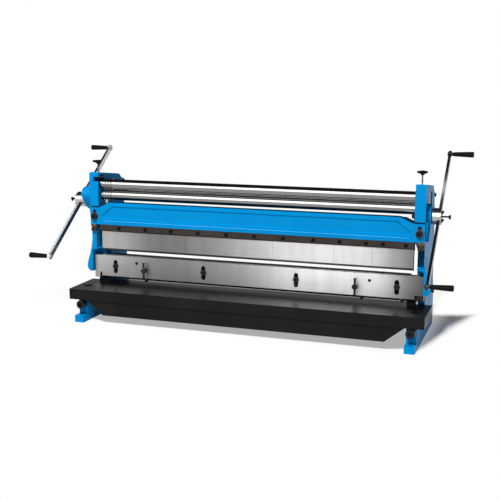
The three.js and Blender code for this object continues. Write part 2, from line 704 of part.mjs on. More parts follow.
function beamBody() {
  const face = plateAlongY([
    [outerX, beamBottom], [outerX, earTop], ...beamTopPoints(0).reverse(),
    [-outerX, earTop], [-outerX, beamBottom],
  ], 0, beam.earDepth);
  const wall = plateAlongY([
    [beamHalf, beamBottom], [beamHalf, earTop], ...beamTopPoints(0).reverse(),
    [-beamHalf, earTop], [-beamHalf, beamBottom],
  ], 0, beam.wall);
  const topFlange = plateAlongY([
    ...beamTopPoints(beam.flange), ...beamTopPoints(0).reverse(),
  ], 0, beam.depth);
  const bottomFlange = block(-beamHalf, beamHalf, 0, beam.depth, beamBottom, beamBottom + beam.flange);
  const lip = block(-fingerHalf, fingerHalf, fingerBack + gap, beam.depth,
    beamLip, beamBottom + beam.flange);
  const ends = blockPair(beamHalf - beam.wall, beamHalf, 0, beam.depth, beamBottom, earTop - sink);
  const middleShare = 1 / 2;
  const ribs = Array.from({ length: beam.ribs }, (_, i) => {
    const x = THREE.MathUtils.lerp(-riseX, riseX, (i + middleShare) / beam.ribs);
    return block(x - beam.ribThick / 2, x + beam.ribThick / 2, sink, beam.depth, beamBottom, beamTop - sink);
  });
  return joined([face, wall, topFlange, bottomFlange, lip, ...ends, ...ribs, ...yokes()]);
}

// Yokes at the back of the beam, with the window that each eccentric turns in
function yokes() {
  const [y, z] = [shaftAxis[0], shaftAxis[1] + throwLength];
  const reach = eccentric.radius + eccentric.play;
  const wallThick = beam.ribThick;
  const yoke = cut(block(eccentricStart, eccentricStart + eccentric.width, beam.wall,
    y + throwLength + reach + wallThick, z - reach - wallThick, z + reach + wallThick - sink), [
    block(eccentricStart - overrun, eccentricStart + eccentric.width + overrun, y - reach,
      y + throwLength + reach, z - reach, z + reach),
  ]);
  return [yoke, mirrored(yoke)];
}

function beamCuts() {
  const [cornerX, tipX] = [riseX - panel.cornerInset, innerX - panel.tipInset];
  const [panelTop, tipZ, panelBottom] = [
    beamTop - panel.rim, beamBottom + panel.tipRise, beamBottom + panel.bottomRise];
  const panelOutline = [
    [cornerX, panelTop], [tipX, tipZ], [tipX, panelBottom],
    [-tipX, panelBottom], [-tipX, tipZ], [-cornerX, panelTop],
  ];
  const slots = [-1, 1].map((sign) => slotAlongY(-overrun, beam.earDepth + overrun, sign * frameX,
    guideZ - guide.shank - gap, guideZ + guide.shank + stroke + gap, boreRadius(guide.shank), sidesMid));
  const back = beam.depth + overrun;
  const slope = plateAlongX([
    [0, beamTop], [back, beamTop - beam.sightDrop * back / beam.depth],
    [back, beamTop + overrun], [0, beamTop + overrun],
  ], -innerX, innerX);
  const bores = clampBoltPlaces().map((x) => rodY(
    fingerBack, back, [x, clampBoltZ], clampBore, sidesHex));
  return [drafted(panelOutline, panel.depth, panel.draft), slope, ...slots, ...bores];
}

function fingerEdges() {
  return seamShares.map((share) => 2 * fingerHalf * share - fingerHalf);
}

function clampBoltPlaces() {
  const edges = fingerEdges();
  return boltShares.flatMap((shares, i) => shares.map(
    (share) => edges[i] + share * (edges[i + 1] - edges[i])));
}

add('beam_casting', cut(beamBody(), beamCuts()), 'bluePaint');

// Clamp bar, one with the bolts that pass through the fingers into the beam's lip
function clampBarBody() {
  const clampBottom = beamBottom - clampBar.height;
  const clampBack = fingerFront - gap;
  const section = [
    [clampBar.frontY, clampBottom + clampBar.bevel], [clampBar.frontY + clampBar.bevel, clampBottom],
    [clampBack, clampBottom], [clampBack, beamBottom - gap],
    [clampBar.frontY, beamBottom - gap],
  ];
  const bolts = clampBoltPlaces().flatMap((x) => [
    rodY(clampBar.frontY - clampBolt.headLength, clampBar.frontY + sink, [x, clampBoltZ],
      clampBolt.head, sidesHex),
    rodY(clampBack - sink, beam.depth - sink, [x, clampBoltZ], clampBolt.shank, sidesHex),
  ]);
  return joined([plateAlongX(section, -innerX, innerX), ...bolts]);
}

add('clamp_bar', clampBarBody(), 'gunmetal');

function fingerBody(index) {
  const edges = fingerEdges();
  const section = [
    [fingerFront, fingerTop], [fingerFront, fingerTip + finger.bevel], [grooveY, fingerTip],
    [fingerBack, fingerTip + finger.heelRise], [fingerBack, fingerTop],
  ];
  const [start, end] = [edges[index], edges[index + 1]];
  const holes = boltShares[index].map((share) => rodY(fingerFront - overrun, fingerBack + overrun,
    [start + share * (end - start), clampBoltZ], clampBore, sidesHex));
  return cut(plateAlongX(section, start + finger.seam / 2, end - finger.seam / 2), holes);
}

boltShares.forEach((_, i) => add(`brake_finger_${i + 1}`, fingerBody(i), 'groundSteel'));

function guideBolt() {
  const spot = [frameX, guideZ];
  return joined([
    rodY(-gap - guide.washerThick, -gap, spot, guide.washer, sidesMid),
    rodY(-gap - guide.washerThick - guide.headLength, -guide.washerThick, spot, guide.head, sidesMid),
    rodY(-guide.washerThick, plate.frontY + guideDepth - gap, spot, guide.shank, sidesMid),
  ]);
}

addPair('beam_guide_bolt', guideBolt(), 'gunmetal');

function beamGib() {
  const [inner, outer] = [plateX + gib.inset, outerX - gib.inset];
  const top = beamBottom - gap;
  const neckTop = beamBottom - gib.strip;
  const neckBottom = neckTop - gib.neck;
  return joined([
    block(inner, outer, 0, gib.depth, neckTop, top),
    block(inner, outer, gib.depth / 2, gib.depth, neckBottom - sink, top),
    block(inner, outer, 0, gib.depth, beamBottom - gib.height, neckBottom),
  ]);
}

addPair('beam_gib', beamGib(), 'gunmetal');

// Rolls. The lower roll carries a gear at each end, the upper one a gear at the right.
const bodyHalf = innerX - rollEndPlay;

function rollProfile(leftEnd, rightEnd, grooved) {
  const profile = [
    [leftEnd, 0], [leftEnd, journalRadius], [-bodyHalf, journalRadius], [-bodyHalf, rollRadius],
  ];
  if (grooved) {
    for (let i = 0; i < wireGroove.count; i += 1) {
      const x = -bodyHalf + wireGroove.first + i * wireGroove.pitch;
      profile.push([x - wireGroove.halfWidth, rollRadius], [x, rollRadius - wireGroove.depth],
        [x + wireGroove.halfWidth, rollRadius]);
    }
  }
  profile.push([bodyHalf, rollRadius], [bodyHalf, journalRadius], [rightEnd, journalRadius], [rightEnd, 0]);
  return profile;
}

const upperJournalEnd = outerX - upperBearing.skin - gap;
const caseGearStart = outerX + caseGearInset;
add('lower_roll', turnedAlongX(rollProfile(-(caseGearStart + gearFace + gap), upperJournalEnd, true),
  lowerAxis, sidesLarge), 'polished');
add('upper_roll', turnedAlongX(rollProfile(-upperJournalEnd, upperJournalEnd, true),
  upperAxis, sidesLarge), 'polished');
add('rear_roll', turnedAlongX(rollProfile(-(outerX - rearBearing.skin - slotPlay),
  outerX - rearBearing.skin - slotPlay, false), rearAxis, sidesLarge), 'polished');
const bore = boreRadius(journalRadius);
const rightGear = [gearStart, gearStart + gearFace];
add('lower_roll_gear_right', gear(...rightGear, lowerAxis, rollTeeth, lowerPhase, bore), 'gearSteel');
add('upper_roll_gear', gear(...rightGear, upperAxis, rollTeeth, upperPhase, bore), 'gearSteel');
add('crank_gear_right', gear(...rightGear, crankAxis, crankTeeth, crankPhase, bore), 'gearSteel');
const leftGear = [-(caseGearStart + gearFace), -caseGearStart];
add('lower_roll_gear_left', gear(...leftGear, lowerAxis, rollTeeth, lowerPhase, bore), 'gearSteel');
add('crank_gear_left', gear(...leftGear, crankAxis, crankTeeth, crankPhase, bore), 'gearSteel');

// Bronze bushes in the frames for the crank shafts
const bushInner = bushOuter - bushWall;
const rightBush = ring(cavityEnd + gap, outerX + bossDepth - gap, crankAxis, bushOuter, bushInner);
const leftBush = ring(innerX + gap, outerX - gap, crankAxis, bushOuter, bushInner);
add('crank_bush_right', rightBush, 'bronze');
add('crank_bush_left', mirrored(leftBush), 'bronze');

// Bearing blocks of the upper roll: the head bridges the roll gear and meets the pressure screw
function upperBlock() {
  const [inner, outer] = [innerX + upperBearing.inset, outerX - upperBearing.skin - gap];
  const [front, back] = [rollY - upperBearing.halfDepth, rollY + upperBearing.halfDepth];
  const body = joined([
    block(inner, outer, front, back, upperRollZ - upperBearing.below, upperRollZ + upperBearing.headTop),
    block(innerX + gap, outer, front, back,
      upperRollZ + upperBearing.headBottom, upperRollZ + upperBearing.headTop),
  ]);
  return cut(body, [rodX(innerX, outer + overrun, upperAxis, bore)]);
}

function rearBlock() {
  const outer = outerX - rearBearing.skin;
  const { halfDepth, halfHeight } = rearBearing;
  const body = block(innerX + rearBearing.inset, outer, rearRoll.y - halfDepth, rearRoll.y + halfDepth,
    rearRollZ - halfHeight, rearRollZ + halfHeight);
  return cut(body, [rodX(innerX, outer - gap, rearAxis, bore)]);
}

const lobeAngles = () => Array.from({ length: lobes }, (_, i) => 2 * Math.PI * i / lobes + Math.PI / 2);

// Lobed knob on a screw, built upright from z to z plus its height
function knobAlongZ(z, height) {
  const reach = topKnob.radius - topKnob.lobe;
  const round = lobeAngles().map((angle) => rodZ(z + topKnob.web, z + height,
    [reach * Math.cos(angle), reach * Math.sin(angle)], topKnob.lobe, sidesHex));
  const hubShape = new THREE.CylinderGeometry(topKnob.hub, topKnob.neck, height, sidesMid);
  return joined([solid(hubShape.rotateX(Math.PI / 2).translate(0, 0, z + height / 2)), ...round]);
}

function topScrew() {
  const foot = upperRollZ + upperBearing.headTop + gap;
  const knobStart = crownZ + topKnob.rise;
  const body = joined([
    rodZ(foot, knobStart + sink, [0, 0], screwRadius, sidesSmall),
    knobAlongZ(knobStart, topKnob.height),
  ]);
  return solid(surface(body).translate(topScrewX, rollY, 0));
}

function rearScrew() {
  const start = rearRoll.y + rearBearing.halfDepth + gap;
  const reach = housing.waistY + rearKnob.play - start;
  const body = joined([
    rodZ(0, reach + sink, [0, 0], screwRadius, sidesSmall),
    knobAlongZ(reach, rearKnob.length),
  ]);
  return solid(surface(body).rotateX(-Math.PI / 2).translate(frameX, start, rearRollZ));
}

addPair('upper_bearing', upperBlock(), 'gearSteel');
addPair('rear_bearing', rearBlock(), 'gearSteel');
addPair('top_screw', topScrew(), 'blackPart');
addPair('rear_screw', rearScrew(), 'blackPart');

// Cranks: shaft with its hub, double arm through the hub, and a turning grip at each end
const clutchStart = innerX - pinionInset - shaftGearFace;
const recessEnd = clutchStart + clutch.travel + gap;
const shaftEnd = { left: innerX + gap, right: recessEnd };

function armSlot(x, tilt, play) {
  const bar = new THREE.BoxGeometry(arm.thick + play, arm.width + play, 2 * arm.half);
  return solid(bar.rotateX(-tilt).translate(x, ...crankAxis));
}

function crankShaft(side) {
  const [start, end, armX] = side === 'left'
    ? [hubStart.left, hubEnd.left, armPlace.left] : [hubStart.right, hubEnd.right, armPlace.right];
  const hubFace = start + hub.collarLength / 2;
  const turned = turnedAlongX([
    [shaftEnd[side], 0], [shaftEnd[side], crankShaftRadius], [hubFace - hub.collarLength, crankShaftRadius],
    [hubFace - hub.collarLength, hub.collar], [hubFace, hub.collar], [hubFace, hub.radius - hub.chamfer],
    [hubFace + hub.chamfer, hub.radius], [end - hub.chamfer, hub.radius],
    [end, hub.radius - hub.chamfer], [end, 0],
  ], crankAxis, sidesLarge);
  return cut(turned, [armSlot(armX, armTilt[side], 2 * gap),
    rodX(shaftEnd[side] - overrun, end + overrun, crankAxis, boreRadius(clutch.rodRadius))]);
}

const armEnd = (tilt, sign) => away(crankAxis, sign * arm.half, Math.PI / 2 - tilt);

function crankArm(x, tilt) {
  const spindles = [-1, 1].flatMap((sign) => [
    rodX(x - arm.thick / 2, x + arm.thick / 2, armEnd(tilt, sign), arm.eye, sidesMid),
    rodX(x, x + arm.thick / 2 + grip.start + grip.pinLength, armEnd(tilt, sign), grip.pin, sidesSmall),
  ]);
  return cut(joined([armSlot(x, tilt, 0), ...spindles]), [
    rodX(x - arm.thick, x + arm.thick, crankAxis, boreRadius(clutch.rodRadius)),
  ]);
}

function crankGrip(x, axis) {
  const start = x + arm.thick / 2 + grip.start;
  const end = start + grip.length;
  const outer = turnedAlongX([
    [start, 0], [start, grip.rootRadius], [start + grip.neck, grip.bodyRadius],
    [start + grip.pinLength, grip.endRadius], [end - grip.dome, grip.endRadius],
    [end, grip.bodyRadius], [end, 0],
  ], axis, sidesMid);
  const holeEnd = start + grip.pinLength + gap;
  const hole = rodX(start - overrun, holeEnd, axis, boreRadius(grip.pin), sidesSmall);
  return cut(outer, [hole]);
}

sides.forEach(([side, sign]) => {
  const x = armPlace[side];
  const tilt = armTilt[side];
  add(`crank_shaft_${side}`, onSide(crankShaft(side), sign), 'polished');
  add(`crank_arm_${side}`, onSide(crankArm(x, tilt), sign), 'polished');
  add(`grip_upper_${side}`, onSide(crankGrip(x, armEnd(tilt, 1)), sign), 'blackPart');
  add(`grip_lower_${side}`, onSide(crankGrip(x, armEnd(tilt, -1)), sign), 'blackPart');
});

// Draw rods through the crank shafts; the right one ends in the clutch cone
function knobOnRod(end) {
  const knobStart = end + clutch.stem;
  return joined([
    rodX(knobStart, knobStart + clutch.knobLength, crankAxis, clutch.rodRadius + sink, sidesSmall),
    ...lobeAngles().map((angle) => rodX(knobStart, knobStart + clutch.knobLength,
      away(crankAxis, clutch.knobRadius - clutch.rodRadius, angle), clutch.rodRadius, sidesHex)),
  ]);
}

function clutchRod() {
  const coneStart = clutchStart - gap - clutch.coneLength;
  const [wide, narrow] = [clutch.coneRadius, clutch.coneRadius - clutch.coneTaper];
  return joined([
    turnedAlongX([
      [coneStart, 0], [coneStart, wide], [coneStart + clutch.coneLength / 2, wide],
      [coneStart + clutch.coneLength, narrow], [coneStart + clutch.coneLength, 0],
    ], crankAxis, sidesMid),
    rodX(coneStart + sink, hubEnd.right + clutch.stem + sink, crankAxis, clutch.rodRadius, sidesSmall),
    knobOnRod(hubEnd.right),
  ]);
}

function hubScrew() {
  return joined([
    rodX(hubEnd.left - arm.thick, hubEnd.left + clutch.stem + sink, crankAxis, clutch.rodRadius, sidesSmall),
    knobOnRod(hubEnd.left),
  ]);
}

add('clutch_knob', clutchRod(), 'blackPart');
add('hub_lock_knob', mirrored(hubScrew()), 'blackPart');

// Gear case over the left gears
function caseShell(inset, x0, x1) {
  const rounds = [[crankAxis, gearCase.crankRadius], [lowerAxis, gearCase.rollRadius]];
  const angle = crankAngle + Math.PI / 2;
  const corners = (sign) => rounds.map(([axis, radius]) => away(axis, sign * (radius - inset), angle));
  return joined([
    ...rounds.map(([axis, radius]) => rodX(x0, x1, axis, radius - inset, sidesLarge)),
    plateAlongX([...corners(1), ...corners(-1).reverse()], x0, x1),
  ]);
}

function gearCaseBody() {
  const start = outerX + gap;
  const end = outerX + gearCase.depth;
  const hollow = caseShell(gearCase.wall, start - overrun, end - gearCase.wall);
  const collar = rodX(end - sink, hubStart.left - hub.collarLength - gap, crankAxis, gearCase.collarRadius);
  const skirt = skirtBody(gearCase.crankRadius, caseSkirt, start, end);
  return cut(joined([caseShell(0, start, end), skirt, collar]), [hollow,
    rodX(start, hubStart.left + overrun, crankAxis, boreRadius(crankShaftRadius))]);
}

add('gear_case', mirrored(gearCaseBody()), 'bluePaint');

// Eccentric shaft with its gear, and the pinion that the clutch drives
function eccentricShaft() {
  const end = outerX - upperBearing.skin - gap;
  const centre = [shaftAxis[0], shaftAxis[1] + throwLength];
  const wide = eccentricStart + eccentric.width - eccentric.inset;
  return joined([
    rodX(-end, end, shaftAxis, shaftRadius),
    rodX(eccentricStart + eccentric.inset, wide, centre, eccentric.radius),
    rodX(-wide, -eccentricStart - eccentric.inset, centre, eccentric.radius),
  ]);
}

add('eccentric_shaft', eccentricShaft(), 'gearSteel');
add('eccentric_shaft_gear', gear(clutchStart, clutchStart + shaftGearFace, shaftAxis, shaftTeeth, shaftPhase,
  boreRadius(shaftRadius)), 'gearSteel');

function clutchPinion() {
  const recess = rodX(clutchStart - overrun, recessEnd, crankAxis, boreRadius(clutch.coneRadius));
  return cut(gear(clutchStart, clutchStart + shaftGearFace, crankAxis, clutchTeeth, clutchPhase,
    boreRadius(crankShaftRadius)), [recess]);
}

add('clutch_pinion', clutchPinion(), 'gearSteel');

// The origin stands on the floor under the middle of the whole machine
const bounds = new THREE.Box3().setFromObject(group);
const middle = bounds.getCenter(new THREE.Vector3());
group.position.set(-middle.x, -middle.y, -bounds.min.z);
group.updateMatrixWorld(true);

export default group;
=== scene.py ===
# Looks of the sheet-metal machine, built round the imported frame. Metres, +Z up.
import json
import math

import bmesh
import bpy
from mathutils import Matrix, Vector

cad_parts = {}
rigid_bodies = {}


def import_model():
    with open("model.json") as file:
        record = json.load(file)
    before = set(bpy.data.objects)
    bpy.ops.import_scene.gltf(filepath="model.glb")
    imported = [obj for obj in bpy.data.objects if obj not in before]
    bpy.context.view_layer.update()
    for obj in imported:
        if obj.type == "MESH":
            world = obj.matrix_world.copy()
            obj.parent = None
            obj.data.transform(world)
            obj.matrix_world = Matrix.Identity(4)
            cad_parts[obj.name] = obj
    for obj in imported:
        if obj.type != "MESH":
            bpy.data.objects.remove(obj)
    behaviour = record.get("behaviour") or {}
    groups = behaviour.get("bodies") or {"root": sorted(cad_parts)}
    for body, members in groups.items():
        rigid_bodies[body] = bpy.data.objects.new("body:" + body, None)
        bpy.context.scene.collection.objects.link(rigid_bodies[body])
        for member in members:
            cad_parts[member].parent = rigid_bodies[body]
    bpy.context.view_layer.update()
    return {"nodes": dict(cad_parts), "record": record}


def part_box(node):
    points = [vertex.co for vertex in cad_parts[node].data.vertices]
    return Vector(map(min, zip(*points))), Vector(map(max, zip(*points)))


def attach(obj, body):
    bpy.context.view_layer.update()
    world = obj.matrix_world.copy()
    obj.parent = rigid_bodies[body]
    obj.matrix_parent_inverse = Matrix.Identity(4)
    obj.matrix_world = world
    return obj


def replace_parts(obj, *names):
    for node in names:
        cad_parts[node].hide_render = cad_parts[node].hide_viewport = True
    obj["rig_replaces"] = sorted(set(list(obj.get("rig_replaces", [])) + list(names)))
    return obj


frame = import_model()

MM = 0.001
NODES = frame["nodes"]
RECORD = frame["record"]
BODY_OF = {node: body for body, nodes in RECORD["behaviour"]["bodies"].items() for node in nodes}
SLOT_OF = {part["node"]: part["material_slot"] for part in RECORD["subparts"]}
JOINT_AT = {joint["name"]: Vector(joint["pos_m"])
            for joint in RECORD["behaviour"]["joints"] if "pos_m" in joint}
SIDES = (("left", -1), ("right", 1))
X, Y, Z = Vector((1, 0, 0)), Vector((0, 1, 0)), Vector((0, 0, 1))

# Camera: where the photograph was taken from, in the frame
CAMERA_PLACE = (1.1994, -3.4717, 1.0091)
CAMERA_YAW = math.radians(18.98)
CAMERA_PITCH = math.radians(10.85)
CAMERA_LENS = 65.57


def low(node):
    return Vector(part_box(node)[0])


def high(node):
    return Vector(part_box(node)[1])


def middle(node):
    return (low(node) + high(node)) / 2


# Places that many pieces share
CENTRE_X = (low("left_frame").x + high("right_frame").x) / 2
FRONT = low("beam_casting").y
CRANK = JOINT_AT["crank_right_turn"]
CRANK_LINE = Vector((CENTRE_X, CRANK.y, CRANK.z))


def span(node, sign):
    """How far from the machine's middle a node starts and ends, on the side that the sign gives."""
    return sorted(sign * (x - CENTRE_X) for x in (low(node).x, high(node).x))


def at(x, y, z):
    """A place in the machine's own millimetres: from its middle, from its front face and from the floor."""
    return Vector((CENTRE_X + x * MM, FRONT + y * MM, z * MM))


# Materials

def grey(tone):
    return (tone, tone, tone)


def scaled(color, share):
    return tuple(part * share for part in color)


class Nodes:
    """The node tree of a material or a world, and short ways to add to it."""

    def __init__(self, owner):
        self.owner = owner
        owner.use_nodes = True
        self.tree = owner.node_tree
        self.tree.nodes.clear()

    def new(self, kind):
        return self.tree.nodes.new("ShaderNode" + kind)

    def link(self, value, socket):
        self.tree.links.new(value, socket)

    def finish(self, value, kind="OutputMaterial"):
        self.link(value, self.new(kind).inputs["Surface"])
        return self.owner

    def glow(self, kind, tone, strength=1):
        """Light of one plain tone, from an emission or a background node."""
        node = self.new(kind)
        node.inputs["Color"].default_value = (*grey(tone), 1)
        node.inputs["Strength"].default_value = strength
        return node.outputs[0]

    def blend(self, factor, first, second):
        node = self.new("MixShader")
        for value, socket in zip((factor, first, second), node.inputs):
            self.link(value, socket)
        return node.outputs[0]

    def math(self, operation, *values):
        node = self.new("Math")
        node.operation = operation
        for value, socket in zip(values, node.inputs):
            self.link(value, socket)
        return node.outputs[0]

    def axes(self, vector):
        node = self.new("SeparateXYZ")
        self.link(vector, node.inputs[0])
        return node.outputs

    def spread(self, value, from_low, from_high, to_low=0.0, to_high=1.0, kind="LINEAR"):
        node = self.new("MapRange")
        node.interpolation_type = kind
        for socket, number in zip(("From Min", "From Max", "To Min", "To Max"),
                                  (from_low, from_high, to_low, to_high)):
            node.inputs[socket].default_value = number
        self.link(value, node.inputs["Value"])
        return node.outputs["Result"]


class Shader(Nodes):
    """A node material in the making: the shader, and short ways to add texture nodes."""

    def __init__(self, name, color, roughness, metallic=0.0, **sockets):
        super().__init__(bpy.data.materials.new(name))
        self.shader = self.new("BsdfPrincipled")
        self.made = self.finish(self.shader.outputs["BSDF"])
        self.made.diffuse_color = (*color, 1)
        self.shader.inputs["Base Color"].default_value = (*color, 1)
        self.shader.inputs["Roughness"].default_value = roughness
        self.shader.inputs["Metallic"].default_value = metallic
        for socket, value in sockets.items():
            self.shader.inputs[socket.replace("_", " ")].default_value = value
        self.place = self.new("TexCoord").outputs["Object"]

    def noise(self, scale, detail=3.0, stretch=(1, 1, 1), roughness=0.5):
        mapping = self.new("Mapping")
        mapping.inputs["Scale"].default_value = stretch
        self.link(self.place, mapping.inputs["Vector"])
        node = self.new("TexNoise")
        node.inputs["Scale"].default_value = scale
        node.inputs["Detail"].default_value = detail
        node.inputs["Roughness"].default_value = roughness
        self.link(mapping.outputs["Vector"], node.inputs["Vector"])
        return node.outputs["Fac"]

    def clouds(self, scale, detail, to_low=0.0, to_high=1.0):
        """Noise with its middle part spread over the whole range."""
        return self.spread(self.noise(scale, detail), 0.3, 0.7, to_low, to_high)

    def along(self, axis):
        return self.axes(self.place)[axis]

    def facing(self, axis, start=0.5, end=0.8):
        """One on faces that look along the axis, either way."""
        normal = self.new("TexCoord").outputs["Normal"]
        return self.spread(self.math("ABSOLUTE", self.axes(normal)[axis]), start, end)

    def ramp(self, value, stops):
        node = self.new("ValToRGB")
        node.color_ramp.interpolation = "B_SPLINE"
        points = node.color_ramp.elements
        while len(points) < len(stops):
            points.new(1.0)
        for point, (share, color) in zip(points, stops):
            point.position = share
            point.color = (*color, 1)
        self.link(value, node.inputs["Fac"])
        return node.outputs["Color"]

    def mixed(self, factor, first, second, blend="MIX"):
        node = self.new("Mix")
        node.data_type = "RGBA"
        node.blend_type = blend
        for name, value in (("Factor", factor), ("A", first), ("B", second)):
            socket = node.inputs[name]
            if isinstance(value, tuple):
                socket.default_value = (*value, 1)
            elif isinstance(value, (int, float)):
                socket.default_value = value
            else:
                self.link(value, socket)
        return node.outputs["Result"]

    def times(self, first, second):
        return self.mixed(1.0, first, second, "MULTIPLY")

    def color(self, value):
        self.link(value, self.shader.inputs["Base Color"])

    def rough(self, value):
        self.link(value, self.shader.inputs["Roughness"])

    def metal(self, value):
        self.link(value, self.shader.inputs["Metallic"])

    def bump(self, height, depth, strength=1.0):
        node = self.new("Bump")
        node.inputs["Distance"].default_value = depth
        node.inputs["Strength"].default_value = strength
        self.link(height, node.inputs["Height"])
        if self.shader.inputs["Normal"].is_linked:
            self.link(self.shader.inputs["Normal"].links[0].from_socket, node.inputs["Normal"])
        self.link(node.outputs["Normal"], self.shader.inputs["Normal"])
        return self


BLUE = (0.0, 0.235, 0.57)
DEEP_BLUE = (0.0, 0.222, 0.545)
PALE_BLUE = (0.0, 0.247, 0.59)


def blue_paint(name="blue_paint", share=1.0, top=1.0, shine=0.03):
    """Blue enamel: share scales its tone, for copies in painted shade or painted highlight; top is painted
    shade on faces that look up or down.
    """
    look = Shader(name, scaled(BLUE, share), 0.3, Specular_IOR_Level=shine)
    plain = look.mixed(look.clouds(4, 4), scaled(DEEP_BLUE, share), scaled(PALE_BLUE, share))
    # Faces that look up or down take the top tone: painted shade
    if top != 1.0:
        plain = look.mixed(look.facing("Z", 0.8, 0.93), plain, scaled(BLUE, top))
    look.color(plain)
    look.rough(look.clouds(30, 3, 0.26, 0.36))
    return look.bump(look.noise(210, 2), 0.00025, 0.15).bump(look.noise(24, 3), 0.0006, 0.12).made


def black_iron():
    """Black cast iron, with painted shade that makes the faces that look up or down darker."""
    look = Shader("black_iron", grey(0.009), 0.3, Specular_IOR_Level=0.08)
    tone = look.spread(look.noise(7, 5), 0.35, 0.7)
    plain = look.mixed(tone, (0.0065, 0.0065, 0.0068), (0.011, 0.0105, 0.01))
    # Faces that look up or down go nearly black: painted shade
    look.color(look.mixed(look.facing("Z", 0.8, 0.93), plain, grey(0.0025)))
    look.rough(look.spread(look.noise(1, 3, (2, 25, 25)), 0.3, 0.7, 0.26, 0.32))
    return look.bump(look.noise(330, 3), 0.0002, 0.1).bump(look.noise(20, 2), 0.0004, 0.03).made


# Tone of the ground faces from the left end of the machine to the right, a painted reflection: share of the
# length, grey
FINGER_PAINTED_REFLECTIONS = ((0, 0.43), (0.08, 0.5), (0.19, 0.14), (0.38, 0.28), (0.5, 0.48), (0.62, 0.8), (0.85, 0.86),
                (0.92, 0.36), (1, 0.15))
DIE_PAINTED_REFLECTIONS = ((0, 0.46), (0.08, 0.48), (0.22, 0.2), (0.38, 0.31), (0.5, 0.38), (0.62, 0.9), (0.87, 0.97),
             (0.93, 0.4), (1, 0.08))
GRINDING = {"scale": 1, "detail": 6, "stretch": (6, 750, 750), "roughness": 0.7}
# Height over which the painted shade at the foot fades out, in millimetres
PAINTED_SHADE_FADE = 1.5


def ground_steel(name, reflection_tones, top, rough=(0.3, 0.46), dull_top=False, foot=None):
    """Ground steel with a painted reflection along the machine; faces that look up or down take a painted
    shade.

    A dull top doesn't mirror, and below the foot's height the steel is black: a painted shade.
    """
    look = Shader(name, (0.45, 0.445, 0.435), 0.34, 1.0, Specular_IOR_Level=0.05)
    # Painted reflection: a tone that runs along the machine
    length = look.spread(look.along("X"), low("die_bar").x, high("die_bar").x)
    front = look.ramp(length, [(share, (tone, tone * 0.985, tone * 0.965)) for share, tone in reflection_tones])
    # Faces that look up or down take the top tone: painted shade
    broad = look.mixed(look.facing("Z"), front, top)
    if dull_top:
        look.metal(look.spread(look.facing("Z"), 0, 1, 1, 0))
    # Below the foot the steel goes black: painted shade along the lower edge
    if foot:
        above = look.spread(look.along("Z"), foot, foot + PAINTED_SHADE_FADE * MM)
        broad = look.mixed(above, grey(0.004), broad)
    grain = look.noise(**GRINDING)
    cloud = look.noise(1, 4, (26, 3, 5))
    scratches = look.mixed(look.spread(grain, 0.3, 0.7), grey(0.84), grey(1))
    patch = look.mixed(look.spread(cloud, 0.35, 0.65), grey(0.9), grey(1))
    look.color(look.times(look.times(broad, scratches), patch))
    look.rough(look.spread(grain, 0.25, 0.75, *rough))
    return look.bump(grain, 0.00012, 0.3).made


def blade_steel():
    look = Shader("blade_steel", (0.62, 0.62, 0.61), 0.3, 1.0)
    grain = look.noise(**GRINDING)
    look.color(look.mixed(look.spread(grain, 0.3, 0.7), (0.5, 0.5, 0.49), (0.66, 0.66, 0.65)))
    return look.bump(grain, 0.0001, 0.3).made


def polished_steel():
    """The rolls: fine rings round X, and broad bands along it."""
    look = Shader("polished_steel", (0.26, 0.26, 0.258), 0.1, 1.0)
    rings = look.noise(1, 5, (500, 9, 9), 0.6)
    bands = look.noise(1, 3, (9, 1, 1))
    tone = look.mixed(look.spread(rings, 0.3, 0.7), (0.25, 0.25, 0.248), (0.28, 0.28, 0.277))
    shade = look.mixed(look.spread(bands, 0.35, 0.65), grey(0.94), grey(1))
    look.color(look.times(tone, shade))
    look.rough(look.spread(rings, 0.3, 0.7, 0.08, 0.11))
    return look.bump(rings, 0.000001, 0.05).made


def turned_steel():
    look = Shader("turned_steel", (0.45, 0.45, 0.445), 0.25, 1.0)
    rings = look.noise(1, 5, (900, 20, 20), 0.6)
    look.color(look.mixed(look.spread(rings, 0.3, 0.7), (0.36, 0.36, 0.355), (0.52, 0.52, 0.515)))
    look.rough(look.spread(rings, 0.3, 0.7, 0.18, 0.32))
    return look.bump(rings, 0.00006, 0.4).made


def dark_steel():
    look = Shader("dark_steel", (0.045, 0.038, 0.033), 0.42, 0.9, Specular_IOR_Level=0.2)
    grain = look.noise(1, 5, (9, 600, 600), 0.7)
    tone = look.mixed(look.clouds(9, 4), (0.024, 0.02, 0.0175), (0.042, 0.037, 0.033))
    look.color(look.mixed(look.spread(grain, 0.35, 0.7), tone, (0.05, 0.045, 0.041)))
    look.rough(look.spread(grain, 0.3, 0.7, 0.32, 0.48))
    return look.bump(grain, 0.0001, 0.3).made


def plated_steel():
    look = Shader("chrome", grey(0.55), 0.12, 1.0)
    look.color(look.mixed(look.clouds(14, 4), grey(0.47), grey(0.6)))
    look.rough(look.clouds(60, 4, 0.08, 0.18))
    return look.bump(look.noise(90, 2), 0.0002, 0.06).made


def machined_steel():
    look = Shader("machined_steel", grey(0.3), 0.35, 1.0)
    look.color(look.mixed(look.clouds(20, 4), grey(0.24), (0.34, 0.335, 0.33)))
    look.rough(look.clouds(80, 3, 0.28, 0.42))
    return look.bump(look.noise(500, 2), 0.00008, 0.3).made


def bronze():
    look = Shader("bronze", (0.13, 0.085, 0.05), 0.36, 1.0)
    look.color(look.mixed(look.clouds(40, 4), (0.09, 0.058, 0.034), (0.16, 0.105, 0.065)))
    look.rough(look.clouds(70, 3, 0.28, 0.42))
    return look.bump(look.noise(300, 2), 0.0001, 0.3).made


